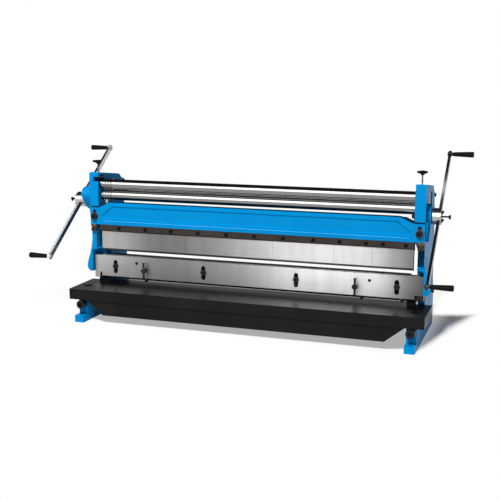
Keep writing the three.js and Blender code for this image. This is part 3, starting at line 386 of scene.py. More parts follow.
def black_steel():
    look = Shader("black_steel", grey(0.01), 0.34, 0.2, Specular_IOR_Level=0.2)
    look.color(look.mixed(look.clouds(50, 4), (0.005, 0.005, 0.0052), (0.013, 0.0125, 0.012)))
    look.rough(look.clouds(70, 3, 0.28, 0.42))
    return look.bump(look.noise(400, 2), 0.0001, 0.3).made


def black_plastic():
    look = Shader("black_plastic", grey(0.004), 0.4, Specular_IOR_Level=0.05)
    look.color(look.mixed(look.clouds(35, 3), grey(0.003), grey(0.006)))
    look.rough(look.clouds(90, 3, 0.34, 0.48))
    return look.bump(look.noise(650, 2), 0.00015, 0.3).made


# Painted reflection on the crank arms from their lower end to their upper one: share of the left arm's
# height, grey
ARM_FACE_REFLECTIONS = {
    "left": ((0, 0.12), (0.18, 0.1), (0.3, 0.02), (0.38, 0.14), (0.45, 0.015), (0.55, 0.3), (0.7, 0.85),
             (1, 0.9)),
    "right": ((0, 0.08), (0.4, 0.05), (0.6, 0.08), (0.67, 0.2), (0.73, 0.7), (0.79, 0.15), (0.88, 0.03),
              (1, 0.012)),
}
ARM_EDGE_REFLECTIONS = {
    "left": ((0, 0.9), (0.43, 0.9), (0.52, 0.02), (0.85, 0.01), (0.97, 0.02), (1, 0.6)),
    "right": ((0, 0.012), (0.45, 0.012), (0.6, 0.03), (0.67, 0.15), (0.73, 0.8), (0.79, 0.12), (0.87, 0.02),
              (1, 0.01)),
}


def arm_chrome(side):
    """Chrome with a painted reflection from the arm's lower end to its upper one: wide faces, narrow edges.
    """
    look = Shader("chrome_" + side, grey(0.5), 0.16, 0.4)
    height = look.spread(look.along("Z"), low("crank_arm_left").z, high("crank_arm_left").z)
    faces, edges = [look.ramp(height, [(share, grey(tone)) for share, tone in stops])
                    for stops in (ARM_FACE_REFLECTIONS[side], ARM_EDGE_REFLECTIONS[side])]
    tone = look.mixed(look.facing("X"), edges, faces)
    look.color(look.times(tone, look.mixed(look.clouds(30, 4), grey(0.86), grey(1))))
    look.rough(look.clouds(60, 4, 0.12, 0.2))
    return look.bump(look.noise(90, 2), 0.0002, 0.06).made


LOOKS = {
    "blue_paint": blue_paint(),
    "black_iron": black_iron(),
    # The fingers: painted reflection along the front, painted shade on the tops
    "ground_steel": ground_steel("ground_steel", FINGER_PAINTED_REFLECTIONS, grey(0.2)),
    "dark_steel": dark_steel(),
    "bronze": bronze(),
    "polished_steel": polished_steel(),
    "chrome": plated_steel(),
    "machined_steel": machined_steel(),
    "black_steel": black_steel(),
    "black_plastic": black_plastic(),
}
TURNED = turned_steel()
BLADE = blade_steel()
# Height of the painted shade along the die bar's foot, in millimetres
DIE_PAINTED_SHADE_HEIGHT = 7
# The die bar: painted reflection along its front, painted shade on its top and along its foot
DIE = ground_steel("die_steel", DIE_PAINTED_REFLECTIONS, (0.085, 0.095, 0.115), (0.4, 0.54), True,
                   low("die_bar").z + DIE_PAINTED_SHADE_HEIGHT * MM)
# The die seats: painted reflection along the front, painted shade on the top
SEAT = ground_steel("seat_steel", DIE_PAINTED_REFLECTIONS, (0.16, 0.17, 0.19))
# Darker blue: painted shade for the sheets in the columns' recesses
PAINTED_SHADE_BLUE = blue_paint("blue_painted_shade", 0.25)
# Blue with painted shade on the beam's top faces
BEAM_TOP_SHADE_BLUE = blue_paint("blue_beam_top_shade", top=0.12)
# Paler, shinier blue: painted highlight on the panel's beads
HIGHLIGHT_BLUE = blue_paint("blue_painted_highlight", 1.6, shine=0.6)
# Nearly black blue: painted shade for the beam's top line and the bearing slot
DARK_SHADE_BLUE = blue_paint("blue_dark_painted_shade", 0.06)
ARM_LOOKS = {side: arm_chrome(side) for side, _ in SIDES}


# Mesh helpers

SOFT_ANGLE = 34.0
SHARP_ANGLE = math.radians(28)
FLAT_ANGLE = math.radians(0.5)
CUT_EDGE = 2


def placed(name, data):
    """A new object in the scene."""
    made = bpy.data.objects.new(name, data)
    bpy.context.scene.collection.objects.link(made)
    return made


def finished(name, mesh_data, body, slot, replaced=(), angle=SOFT_ANGLE, look=None):
    """Turns a bmesh into a piece that rides on a body, with soft shading below the angle."""
    mesh = bpy.data.meshes.new(name)
    bmesh.ops.recalc_face_normals(mesh_data, faces=mesh_data.faces)
    mesh_data.to_mesh(mesh)
    mesh_data.free()
    mesh.shade_smooth()
    mesh.set_sharp_from_angle(angle=math.radians(angle))
    mesh.normals_split_custom_set(even_normals(mesh, math.cos(math.radians(angle))))
    mesh.materials.append(look or LOOKS[slot])
    piece = placed(name, mesh)
    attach(piece, body)
    if replaced:
        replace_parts(piece, *replaced)
    return piece


def fine(node, shape, angle=SOFT_ANGLE, look=None, name=None):
    """The piece that replaces a node, on the node's body and with its material slot."""
    return finished(name or "fine_" + node, shape, BODY_OF[node], SLOT_OF[node], (node,), angle, look)


def even_normals(mesh, limit):
    """Corner normals that lean to the larger faces, so that flat faces stay flat beside a rounded edge."""
    around = [[] for _ in mesh.vertices]
    for face in mesh.polygons:
        for vertex in face.vertices:
            around[vertex].append(face)
    normals = []
    for face in mesh.polygons:
        for vertex in face.vertices:
            total = Vector()
            for other in around[vertex]:
                if other.normal.dot(face.normal) > limit:
                    total += other.normal * other.area
            normals.append(total.normalized())
    return normals


def carved(shape, boxes):
    """The shape with boxes cut out of it, each given by two opposite corners."""
    mesh, tool_mesh = bpy.data.meshes.new("carved"), bpy.data.meshes.new("tool")
    shape.to_mesh(mesh)
    shape.free()
    tool = bmesh.new()
    for first, second in boxes:
        bar(tool, (first + second) / 2, [abs(side) for side in second - first], width=CUT_EDGE * MM)
    tool.to_mesh(tool_mesh)
    tool.free()
    solid, cutter = placed("carved", mesh), placed("tool", tool_mesh)
    cut = solid.modifiers.new("cut", "BOOLEAN")
    cut.operation = "DIFFERENCE"
    cut.solver = "EXACT"
    cut.object = cutter
    result = bmesh.new()
    result.from_object(solid, bpy.context.evaluated_depsgraph_get())
    for made, data in ((solid, mesh), (cutter, tool_mesh)):
        bpy.data.objects.remove(made)
        bpy.data.meshes.remove(data)
    return result


def softened(node, width, look=None, cuts=()):
    """The node's own shape with its edges rounded."""
    shape = bmesh.new()
    shape.from_mesh(NODES[node].data)
    bmesh.ops.remove_doubles(shape, verts=shape.verts, dist=MM / 100)
    if cuts:
        shape = carved(shape, cuts)
    bmesh.ops.dissolve_limit(shape, angle_limit=FLAT_ANGLE, verts=shape.verts, edges=shape.edges)
    sharp = [edge for edge in shape.edges if edge.is_manifold and edge.calc_face_angle(0) > SHARP_ANGLE]
    bmesh.ops.bevel(shape, geom=sharp, offset=width, segments=2, profile=0.5, affect="EDGES",
                    clamp_overlap=True)
    fine(node, shape, look=look)


def round_section(radius):
    return lambda turn: radius


def hex_section(radius, cap=None):
    """Distance to a hexagon's side, measured along the turn, and never beyond the cap."""
    def reach(turn):
        side = (turn % (math.pi / 3)) - math.pi / 6
        flat = radius * math.cos(math.pi / 6) / math.cos(side)
        return min(flat, cap) if cap else flat
    return reach


def lobed_section(radius, depth, lobes=3):
    return lambda turn: radius - depth * (1 - math.cos(lobes * turn)) / 2


def across(axis):
    """Two directions at right angles to the axis and to each other."""
    first = Z if abs(axis.z) < 0.9 else X
    side = axis.cross(first).normalized()
    return side.cross(axis).normalized() * -1, side


def loft(shape, rings):
    """Adds a closed solid through rings of places, with a cap at each end."""
    loops = [[shape.verts.new(place) for place in ring] for ring in rings]
    count = len(loops[0])
    for first, second in zip(loops, loops[1:]):
        for i in range(count):
            j = (i + 1) % count
            shape.faces.new((first[i], first[j], second[j], second[i]))
    shape.faces.new(loops[0][::-1])
    shape.faces.new(loops[-1])
    return shape


def turned(shape, spot, axis, profile, count=64, spin=0.0):
    """Adds a closed turned solid: a profile row is a distance along the axis, and a radius or a section."""
    up, side = across(axis)
    rings = []
    for along, section in profile:
        reach = section if callable(section) else round_section(section)
        centre = spot + axis * along
        rings.append([centre + (up * math.cos(turn) + side * math.sin(turn)) * reach(turn + spin)
                      for turn in (2 * math.pi * i / count for i in range(count))])
    return loft(shape, rings)


def bar(shape, centre, size, turn=None, width=1.0 * MM):
    """Adds a bar with rounded edges: size is its length along each axis, turned about the centre."""
    lone = bmesh.new()
    bmesh.ops.create_cube(lone, size=1.0)
    bmesh.ops.scale(lone, vec=size, verts=lone.verts)
    bmesh.ops.bevel(lone, geom=lone.edges[:], offset=width, segments=3, profile=0.5,
                    affect="EDGES", clamp_overlap=True)
    matrix = Matrix.Translation(centre) @ (turn.to_4x4() if turn else Matrix.Identity(4))
    bmesh.ops.transform(lone, matrix=matrix, verts=lone.verts)
    copies = {vert: shape.verts.new(vert.co) for vert in lone.verts}
    for face in lone.faces:
        shape.faces.new([copies[vert] for vert in face.verts])
    lone.free()
    return shape


def rows(start, outline, unit=MM):
    """Profile rows from an outline: distance past the start in the unit, radius and hollow in mm."""
    made = []
    for along, radius, *hollow in outline:
        section = lobed_section(radius * MM, hollow[0] * MM) if hollow else radius * MM
        made.append((start + along * unit, section))
    return made


# Radius and height of the hexagon heads
HEX_HEADS = {"arm_nut": (8, 4.5), "die_bolt": (9.3, 8.2), "clamp_bolt": (7.6, 6.4)}
# Radius and height of the round heads, radius and depth of their sockets, and the rounding of their rims
SOCKET_HEADS = {
    "hub_screw": (4.6, 6, 2.4, 3, 0.7),
    "guide_bolt": (12.6, 9, 6.5, 5.5, 1.3),
    "notch_screw": (7.2, 8, 3.5, 4, 1),
    "bed_bolt": (18.5, 28, 8.6, 9, 2),
    "nose_screw": (9.4, 8, 4, 4.5, 1),
    "table_screw": (11, 17, 5.5, 8, 1.2),
}


def hex_head(shape, spot, axis, kind):
    """A chamfered hexagon head that stands on its seat at the spot."""
    radius, height = (size * MM for size in HEX_HEADS[kind])
    rim = radius * 0.93
    turned(shape, spot, axis, [
        (0, hex_section(radius)), (height * 0.8, hex_section(radius)),
        (height, hex_section(radius, rim * 0.92)), (height, rim * 0.6), (height * 0.96, rim * 0.55)], 48)


def socket_head(shape, spot, axis, kind, count=48):
    """A round cap screw head with a hexagon socket."""
    radius, height, socket, depth, edge = (size * MM for size in SOCKET_HEADS[kind])
    turned(shape, spot, axis, [
        (0, radius - edge / 2), (edge / 2, radius), (height - edge, radius),
        (height - edge * 0.3, radius - edge * 0.3), (height, radius - edge), (height, hex_section(socket)),
        (height - depth, hex_section(socket))], count)


def threaded(start, end, radius, pitch, depth):
    """Profile rows of a fine thread between two places on its axis."""
    count = max(2, round((end - start) / pitch))
    made = []
    for i in range(count):
        base = start + (end - start) * i / count
        made += [(base, radius - depth), (base + pitch / 2, radius)]
    return made + [(end, radius - depth)]


# Camera, light and floor

def camera():
    data = bpy.data.cameras.new("camera")
    data.lens = CAMERA_LENS
    data.sensor_width = 36
    data.clip_end = 100
    eye = placed("camera", data)
    eye.location = CAMERA_PLACE
    eye.rotation_euler = (math.pi / 2 - CAMERA_PITCH, 0, CAMERA_YAW)
    bpy.context.scene.camera = eye


def white_rays(nodes):
    """One on camera, glossy and transmission rays, which all see the plain background."""
    rays = nodes.new("LightPath").outputs
    seen = nodes.math("MAXIMUM", rays["Is Camera Ray"], rays["Is Glossy Ray"])
    return nodes.math("MAXIMUM", seen, rays["Is Transmission Ray"])


def world(ambient):
    made = bpy.data.worlds.new("studio")
    bpy.context.scene.world = made
    nodes = Nodes(made)
    lit, seen = nodes.glow("Background", 1, ambient), nodes.glow("Background", 1)
    nodes.finish(nodes.blend(white_rays(nodes), lit, seen), "OutputWorld")


def lamp(name, place, target, size, power):
    data = bpy.data.lights.new(name, "AREA")
    data.shape = "RECTANGLE"
    data.size, data.size_y = size
    data.energy = power
    source = placed(name, data)
    source.location = place
    source.rotation_euler = (Vector(target) - Vector(place)).to_track_quat("-Z", "Y").to_euler()
    source.visible_camera = False
    source.visible_glossy = False


def scenery(name, shape, made):
    """Puts a part of the stage in the scene, from its shape and its material."""
    mesh = bpy.data.meshes.new(name)
    shape.to_mesh(mesh)
    shape.free()
    mesh.materials.append(made)
    return placed(name, mesh)


FLOOR_SIZE = 14
FLOOR_COLOR = (0.98, 0.97, 0.955, 1)
# Share of plain white in the floor, in steps: start, end, share at the start and share at the end
FAR_AWAY = (0.9, 1.25, 0, 1)
IN_FRONT = (-0.55, -0.25, 1, 0)
BELOW = (0.68, 0.8, 0.4, 0)
OUTSIDE = (0.715, 0.775, 0, 1)
BEHIND = (0.07, 0.15, 0, 1)
BESIDE = (0.67, 0.72, 0, 1)
# Directions across the outer and the rear side of the shadow on the right
OUTER_SIDE = (0.97, -0.243, 0)
REAR_SIDE = (-0.325, 0.946, 0)


def floor():
    """White floor: it takes the shadow beside and below the machine and is plain white elsewhere."""
    nodes = Nodes(bpy.data.materials.new("floor"))
    matt = nodes.new("BsdfDiffuse")
    matt.inputs["Color"].default_value = FLOOR_COLOR
    place = nodes.new("TexCoord").outputs["Object"]
    axes = nodes.axes(place)

    def measured(operation, direction=(0, 0, 0)):
        node = nodes.new("VectorMath")
        node.operation = operation
        nodes.link(place, node.inputs[0])
        node.inputs[1].default_value = direction
        return node.outputs["Value"]

    def step(value, numbers):
        return nodes.spread(value, *numbers, "SMOOTHSTEP")

    behind = step(measured("DOT_PRODUCT", REAR_SIDE), BEHIND)
    white = step(measured("LENGTH"), FAR_AWAY)
    for other in (step(axes["Y"], IN_FRONT), step(axes["X"], BELOW),
                  step(measured("DOT_PRODUCT", OUTER_SIDE), OUTSIDE),
                  nodes.math("MULTIPLY", behind, step(axes["X"], BESIDE))):
        white = nodes.math("MAXIMUM", white, other)
    share = nodes.math("MULTIPLY", white_rays(nodes), white)
    made = nodes.finish(nodes.blend(share, matt.outputs["BSDF"], nodes.glow("Emission", 1)))
    shape = bmesh.new()
    bmesh.ops.create_grid(shape, x_segments=8, y_segments=8, size=FLOOR_SIZE)
    ground = scenery("floor", shape, made)


def card(name, corners, tone):
    """A studio card that shows in reflections alone."""
    nodes = Nodes(bpy.data.materials.new(name))
    shape = bmesh.new()
    shape.faces.new([shape.verts.new(corner) for corner in corners])
    piece = scenery(name, shape, nodes.finish(nodes.glow("Emission", tone)))
    piece.visible_camera = False
    piece.visible_diffuse = False
    piece.visible_shadow = False


AMBIENT = 0.16
KEY = {"place": (-0.6, -3.9, 6.0), "target": (0, 0, 0.3), "size": (1.3, 1.3), "power": 540}
# Corners and tone of each card: a bright panel in front, and two dark ones above and behind
CARDS = {
    "panel": (((-4.2, -3.2, 1.1), (1.6, -3.2, 1.1), (1.6, -2.4, 3.6), (-4.2, -2.4, 3.6)), 4.9),
    "canopy": (((-4.2, -2.4, 3.6), (2.8, -2.4, 3.6), (2.8, 0.6, 3.0), (-4.2, 0.6, 3.0)), 0.03),
    "roof": (((-4.2, 2.2, 0.75), (2.8, 2.2, 0.6), (2.8, 0.6, 3.0), (-4.2, 0.6, 3.0)), 0.03),
}


def stage():
    camera()
    world(AMBIENT)
    floor()
    lamp("key", **KEY)
    for name, (corners, tone) in CARDS.items():
        card(name, corners, tone)
    bpy.context.scene.view_settings.view_transform = "Standard"


# Rolls, with a fine turned surface and wire grooves at the left end

ROLL = {"radius": 21.7, "journal": 12.5, "half": 663, "edge": 1.2, "sides": 240}
GROOVE = {"count": 4, "first": 12, "pitch": 13, "half": 4, "depth": 3.5, "steps": 8}


def roll(node, grooved):
    start, end = low(node).x, high(node).x
    edge, journal, radius = ROLL["edge"] * MM, ROLL["journal"] * MM, ROLL["radius"] * MM
    left, right = CENTRE_X - ROLL["half"] * MM, CENTRE_X + ROLL["half"] * MM
    profile = [(start, journal - edge), (start + edge, journal), (left, journal),
               (left, radius - edge), (left + edge, radius)]
    for i in range(GROOVE["count"] if grooved else 0):
        centre = left + (GROOVE["first"] + GROOVE["pitch"] * i) * MM
        for turn in (math.pi * step / GROOVE["steps"] for step in range(GROOVE["steps"] + 1)):
            profile.append((centre - GROOVE["half"] * MM * math.cos(turn),
                            radius - GROOVE["depth"] * MM * math.sin(turn)))
    profile += [(right - edge, radius), (right, radius - edge), (right, journal),
                (end - edge, journal), (end, journal - edge)]
    centre = middle(node)
    shape = turned(bmesh.new(), Vector((0, centre.y, centre.z)), X, profile, ROLL["sides"])
    fine(node, shape, 30)


# Cranks: hub, arm, grips and the knobs on the hub's end

# The hub's length at each side, then its radii and the rounding of its edges
HUB = {"right": 34, "left": 45, "radius": 32, "collar": 22, "shaft": 12.5, "edge": 2}
HUB_SCREWS = {"count": 4, "first_turn": math.radians(45), "radius_share": 0.7}
ARM = {"half": 342, "width": 22, "thick": 11, "edge": 1.3, "from_joint": 50}
ARM_TILT = {"left": math.radians(54), "right": math.radians(51)}
ARM_EYE = {"radius": 13.5, "edge": 1.2, "pin": 5, "pin_length": 71}
GRIP_FOOT = ((0, 5.6), (0.6, 6.8), (2.5, 7.3))
GRIP_SWELL_SHARES = ((0.09, 8.4), (0.3, 9.3), (0.6, 10.4), (0.85, 11.3))
GRIP_END = ((-4, 11.5), (-1.6, 11), (-0.4, 9.8), (0, 8.6), (0, 6), (-1.5, 5.4))
KNOB_REACH = 34
KNOB = ((-11, 3.2), (-9, 4.4), (-7.5, 4.8), (-7, 8.6, 3.8), (-5.8, 10.4, 5.6), (-1.6, 10.4, 5.6),
        (-0.4, 8.6, 3.8), (0, 4.5))
KNOB_ROD = ((0, 3.2),)
CLUTCH_CONE = ((0, 13), (4, 13), (8, 10), (8, 4), (9, 3.2))


def hub(side, sign):
    node = "crank_shaft_" + side
    start, end = span(node, sign)
    face = end - HUB[side] * MM
    radius, collar, shaft, edge = (HUB[size] * MM for size in ("radius", "collar", "shaft", "edge"))
    shape = turned(bmesh.new(), CRANK_LINE, X * sign, [
        (start, shaft - edge / 2), (start + edge / 2, shaft), (face - edge, shaft), (face - edge, collar),
        (face, collar), (face, radius - edge), (face + edge * 0.3, radius - edge * 0.3),
        (face + edge, radius), (end - edge, radius), (end - edge * 0.3, radius - edge * 0.3),
        (end, radius - edge), (end, radius * 0.42), (end - edge, radius * 0.4), (end - edge, shaft / 2),
    ], 96)
    fine(node, shape, 30, TURNED, "fine_hub_" + side)
    shape = bmesh.new()
    for i in range(HUB_SCREWS["count"]):
        turn = HUB_SCREWS["first_turn"] + 2 * math.pi * i / HUB_SCREWS["count"]
        outward = (Y * math.cos(turn) + Z * math.sin(turn)) * radius * HUB_SCREWS["radius_share"]
        socket_head(shape, CRANK_LINE + X * sign * end + outward, X * sign, "hub_screw", 32)
    finished("hub_screws_" + side, shape, "crank_" + side, "black_steel")


def crank_arm(side, sign):
    node = "crank_arm_" + side
    joint = JOINT_AT["grip_upper_%s_turn" % side]
    centre = CRANK_LINE + X * (joint.x - CENTRE_X - sign * ARM["from_joint"] * MM)
    direction = Y * math.sin(ARM_TILT[side]) + Z * math.cos(ARM_TILT[side])
    shape = bar(bmesh.new(), centre, (ARM["thick"] * MM, ARM["width"] * MM, 2 * ARM["half"] * MM),
                Matrix.Rotation(-ARM_TILT[side], 3, "X"), ARM["edge"] * MM)
    half = ARM["thick"] * MM / 2
    eye, edge, pin = ARM_EYE["radius"] * MM, ARM_EYE["edge"] * MM, ARM_EYE["pin"] * MM
    for end in (-1, 1):
        spot = centre + direction * end * ARM["half"] * MM
        turned(shape, spot, X * sign, [
            (-half - edge, eye - 2 * edge), (-half, eye - edge), (-half + edge, eye), (half - edge, eye),
            (half, eye - edge), (half + edge, eye - 2.5 * edge), (half + edge, pin * 1.5),
            (half + 3 * edge, pin * 1.45), (half + 3 * edge, pin),
            (half + ARM_EYE["pin_length"] * MM, pin * 0.96)], 48)
        hex_head(shape, spot - X * sign * half, X * -sign, "arm_nut")
    piece = fine(node, shape, look=ARM_LOOKS[side])
    piece.visible_shadow = False


def grip(level, side, sign):
    node = "grip_%s_%s" % (level, side)
    joint = JOINT_AT[node + "_turn"]
    start, end = (low(node).x, high(node).x) if sign > 0 else (high(node).x, low(node).x)
    length = abs(end - start)
    profile = rows(0, GRIP_FOOT) + rows(0, GRIP_SWELL_SHARES, length)
    shape = turned(bmesh.new(), Vector((start, joint.y, joint.z)), X * sign,
                   profile + rows(length, GRIP_END), 64)
    piece = fine(node, shape, 30)
    piece.visible_shadow = False


def hub_knob(node, side, sign, inner_end):
    """Draw rod with a small lobed knob; the outline of its inner end is given."""
    start = span(node, sign)[0]
    end = span("crank_shaft_" + side, sign)[1] + KNOB_REACH * MM
    profile = rows(start, inner_end) + rows(end, KNOB)
    shape = turned(bmesh.new(), CRANK_LINE, X * sign, profile, 72)
    fine(node, shape, 36)


def cranks():
    for side, sign in SIDES:
        hub(side, sign)
        crank_arm(side, sign)
        for level in ("upper", "lower"):
            grip(level, side, sign)
    hub_knob("clutch_knob", "right", 1, CLUTCH_CONE)
    hub_knob("hub_lock_knob", "left", -1, KNOB_ROD)


# Adjusting screws with winged knobs

SCREW_FOOT = ((0, 4.8), (1, 5.8))
SCREW_STEP = ((-4, 5.8), (-3.5, 3.4))
SCREW_THREAD = {"from": -3, "to": 2, "radius": 3.4, "pitch": 1.5, "depth": 0.45}
WING_NECK = ((0, 4.8), (0.8, 6.2))
WING_SHARES = ((0.26, 8), (0.34, 11, 2), (0.42, 16, 6), (0.5, 20, 8), (0.58, 22, 8), (0.9, 22, 8))
WING_END = ((-0.5, 20, 7.4), (0, 14, 5), (0, 4), (-1, 3.4))
TOP_KNOB_HEIGHT = 16
REAR_KNOB_HEIGHT = 15
REAR_THIN_LENGTH = 22


def wing_screw(node, axis, thin_from, knob_height):
    """Threaded screw along the axis from its foot to a three-winged knob with a flared neck."""
    centre = middle(node)
    start = low(node).dot(axis)
    end = high(node).dot(axis)
    foot = centre - axis * centre.dot(axis)
    neck = end - knob_height
    thread = threaded(thin_from + SCREW_THREAD["from"] * MM, neck + SCREW_THREAD["to"] * MM,
                      *(SCREW_THREAD[size] * MM for size in ("radius", "pitch", "depth")))
    profile = rows(start, SCREW_FOOT) + rows(thin_from, SCREW_STEP) + thread
    shape = turned(bmesh.new(), foot, axis, profile, 32)
    fine(node, shape, 30, LOOKS["chrome"], "stud_" + node)
    profile = rows(neck, WING_NECK) + rows(neck, WING_SHARES, knob_height)
    shape = turned(bmesh.new(), foot, axis, profile + rows(end, WING_END), 96, math.radians(30))
    fine(node, shape, 40, LOOKS["black_plastic"])


def wing_screws():
    for side, _ in SIDES:
        wing_screw("top_screw_" + side, Z, high("right_frame").z, TOP_KNOB_HEIGHT * MM)
        node = "rear_screw_" + side
        wing_screw(node, Y, high(node).y - REAR_THIN_LENGTH * MM, REAR_KNOB_HEIGHT * MM)


# Gear case at the left: a cover round two gears, with a web that tapers down to the frame

CASE = {"crank": 40, "roll": 31, "collar_height": 3}
# Distance past the case's face, and how far the outline is drawn in there
CASE_RIM = ((-7, 0), (-4, 0.6), (-2, 1.8), (-0.6, 3.8), (0, 6.6))
CASE_COLLAR = ((-2, 26), (-0.6, 23.4), (1.5, 22), (3, 21.4), (3, 13))
WEB = {"shoulder": 14, "drop": 52, "foot": 5, "half": 14, "sunk": 1.5, "slack": 0.5, "corner": 9,
       "steps": 10, "corner_steps": 6}


def rounds_outline(first, first_radius, second, second_radius, count=28):
    """Outline round two circles, as places in the plane across X."""
    step = second - first
    base = math.atan2(step.z, step.y)
    lean = math.acos((first_radius - second_radius) / step.length)
    points = []
    for centre, radius, turn, sweep in ((first, first_radius, base + lean, 2 * math.pi - 2 * lean),
                                        (second, second_radius, base - lean, 2 * lean)):
        for i in range(count):
            angle = turn + sweep * i / (count - 1)
            points.append((centre.y + radius * math.cos(angle), centre.z + radius * math.sin(angle)))
    return points


def gear_case():
    start, collar_end = span("gear_case", -1)
    end = collar_end - CASE["collar_height"] * MM
    roll_axis = middle("lower_roll")
    first = Vector((0, CRANK.y, CRANK.z))
    second = Vector((0, roll_axis.y, roll_axis.z))
    rings = []
    for along, inset in [(start, 0)] + [(end + past * MM, inset) for past, inset in CASE_RIM]:
        outline = rounds_outline(first, (CASE["crank"] - inset) * MM, second, (CASE["roll"] - inset) * MM)
        rings.append([(CENTRE_X - along, y, z) for y, z in outline])
    shape = loft(bmesh.new(), rings)
    turned(shape, CRANK_LINE, X * -1, rows(end, CASE_COLLAR), 64)
    web(shape, first, start, end)
    fine("gear_case", shape, 40)


def web(shape, axis, start, end):
    """The tapering lower end of the case, as rings of rounded rectangles from its shoulder down."""
    top = axis.z - WEB["shoulder"] * MM
    drop = (CASE["crank"] + WEB["drop"] - WEB["shoulder"]) * MM
    quarter = [math.pi / 2 * i / WEB["corner_steps"] for i in range(WEB["corner_steps"] + 1)]
    rings = []
    for i in range(WEB["steps"] + 1):
        share = i / WEB["steps"]
        reach = end - start - WEB["sunk"] * MM + (WEB["foot"] * MM - (end - start)) * share
        half = (CASE["crank"] + (WEB["half"] - CASE["crank"]) * share) * MM - WEB["slack"] * MM
        corner = min(WEB["corner"] * MM, reach * 0.8, half * 0.8)
        out, side = start + reach - corner, half - corner
        ring = [(start, -half)]
        ring += [(out + corner * math.sin(turn), -side - corner * math.cos(turn)) for turn in quarter]
        ring += [(out + corner * math.cos(turn), side + corner * math.sin(turn)) for turn in quarter]
        ring.append((start, half))
        rings.append([(CENTRE_X - x, axis.y + y, top - drop * share) for x, y in ring])
    loft(shape, rings)


# Die bar, fingers and their screws

DIE_HALF = 703
DIE_SLOT_SHARES = (-0.861, -0.287, 0.28, 0.855)
DIE_BOLT_RISE = 208
DIE_WASHER = ((0, 11.6), (0.3, 11.9), (2.3, 11.9), (2.7, 11.4))
DIE_HEAD_OUT = 2.6
NOTCH_SHARES = (-0.66, 0.66, 0.886)
NOTCH_PLACE = (33, 154.5)
FINGER_HALF = 663
SEAM_SHARES = (0, 0.2888, 0.5762, 0.7647, 0.8793, 1)
CLAMP_BOLT_SHARES = ((0.227, 0.548, 0.851), (0.165, 0.488, 0.803), (0.184, 0.676), (0.171, 0.855),
                     (0.269, 0.819))
CLAMP_BOLT_PLACE = (5, 375)
CLEAR = 0.3


def die_bolts():
    face = low("die_bar").y - CLEAR * MM
    seats, heads = bmesh.new(), bmesh.new()
    for share in DIE_SLOT_SHARES:
        spot = Vector((CENTRE_X + share * DIE_HALF * MM, face, DIE_BOLT_RISE * MM))
        turned(seats, spot, Y * -1, rows(0, DIE_WASHER), 48)
        hex_head(heads, spot - Y * DIE_HEAD_OUT * MM, Y * -1, "die_bolt")
    finished("die_bolt_washers", seats, "root", "dark_steel")
    finished("die_bolt_heads", heads, "root", "dark_steel")


def clamp_bolts():
    shape = bmesh.new()
    for start, end, shares in zip(SEAM_SHARES, SEAM_SHARES[1:], CLAMP_BOLT_SHARES):
        for share in shares:
            x = FINGER_HALF * (2 * (start + share * (end - start)) - 1)
            hex_head(shape, at(x, *CLAMP_BOLT_PLACE), Y * -1, "clamp_bolt")
    finished("clamp_bolt_heads", shape, "beam", "dark_steel", look=LOOKS["black_plastic"])


def notch_plugs():
    """Cap screws behind the half-round notches under the die bar."""
    shape = bmesh.new()
    for share in NOTCH_SHARES:
        socket_head(shape, at(share * DIE_HALF, *NOTCH_PLACE), Y * -1, "notch_screw")
    finished("notch_screws", shape, "root", "black_steel")


# T-handled clamp screws: head, thread, inner end and cross bar

TEE_HEAD = ((0, 7.5), (0.8, 9.8), (2.2, 10.8), (11, 10.8), (12.5, 9.8), (13.5, 7.2))
TEE_THREAD = {"from": 14, "to": 27, "radius": 6.9, "pitch": 1.75, "depth": 0.5}
SHANK_END = ((-1, 6.9), (0, 6))
TEE_BAR = ((-35, 3.4), (-34.4, 5.6), (-30.5, 6), (-29.6, 4.2), (29.6, 4.2), (30.5, 6), (34.4, 5.6),
           (35, 3.4))
TEE_BAR_DEPTH = 6.6


def tee_screws():
    for side, _ in SIDES:
        node = "die_clamp_screw_" + side
        joint = JOINT_AT[node + "_turn"]
        front, back = low(node).y, high(node).y
        thread = threaded(front + TEE_THREAD["from"] * MM, front + TEE_THREAD["to"] * MM,
                          *(TEE_THREAD[size] * MM for size in ("radius", "pitch", "depth")))
        profile = rows(front, TEE_HEAD) + thread + rows(back, SHANK_END)
        shape = turned(bmesh.new(), Vector((joint.x, 0, joint.z)), Y, profile, 56)
        cross = Vector((joint.x, front + TEE_BAR_DEPTH * MM, joint.z))
        turned(shape, cross, Z, rows(0, TEE_BAR), 32)
        look = LOOKS["dark_steel" if side == "left" else "black_steel"]
        fine(node, shape, look=look)


# Beam: guide bolts in their slots, gibs, and the lines on its front

GUIDE_WASHER = ((0, 15.2), (0.4, 15.9), (2, 15.9), (2.5, 15.3), (2.5, 8))
GUIDE_SHANK = ((-2.4, 6.9),)
GUIDE_HEAD_OUT = 2.4
# The slot's half width, and how far the middles of its rounded ends lie from the bolt
GUIDE_SLOT = {"half": 6.9, "up": 20.5, "down": 8, "depths": (0.6, 8), "points": 32}
GIB = {"strip": 12, "foot": 13, "width_share": 0.9, "gap": 4}
PANEL_HALF = 646
# Depth and height of the panel's beads, whose paler blue is a painted highlight
PANEL_BEADS = ((2.2, 416), (0, 405))
PANEL_BEAD = {"radius": 1.5, "tip": 0.4, "taper": 3}
# Ends of the dark line of painted shade on the beam's top edge, from its middle and from the floor, with its
# radius
BEAM_SHADE_LINES = (((-611, 487), (611, 487), 2.5), ((611, 487), (661, 465), 2.8))
BEAM_SHADE_LINE = {"depth": 1, "tip": 0.6, "taper": 2}


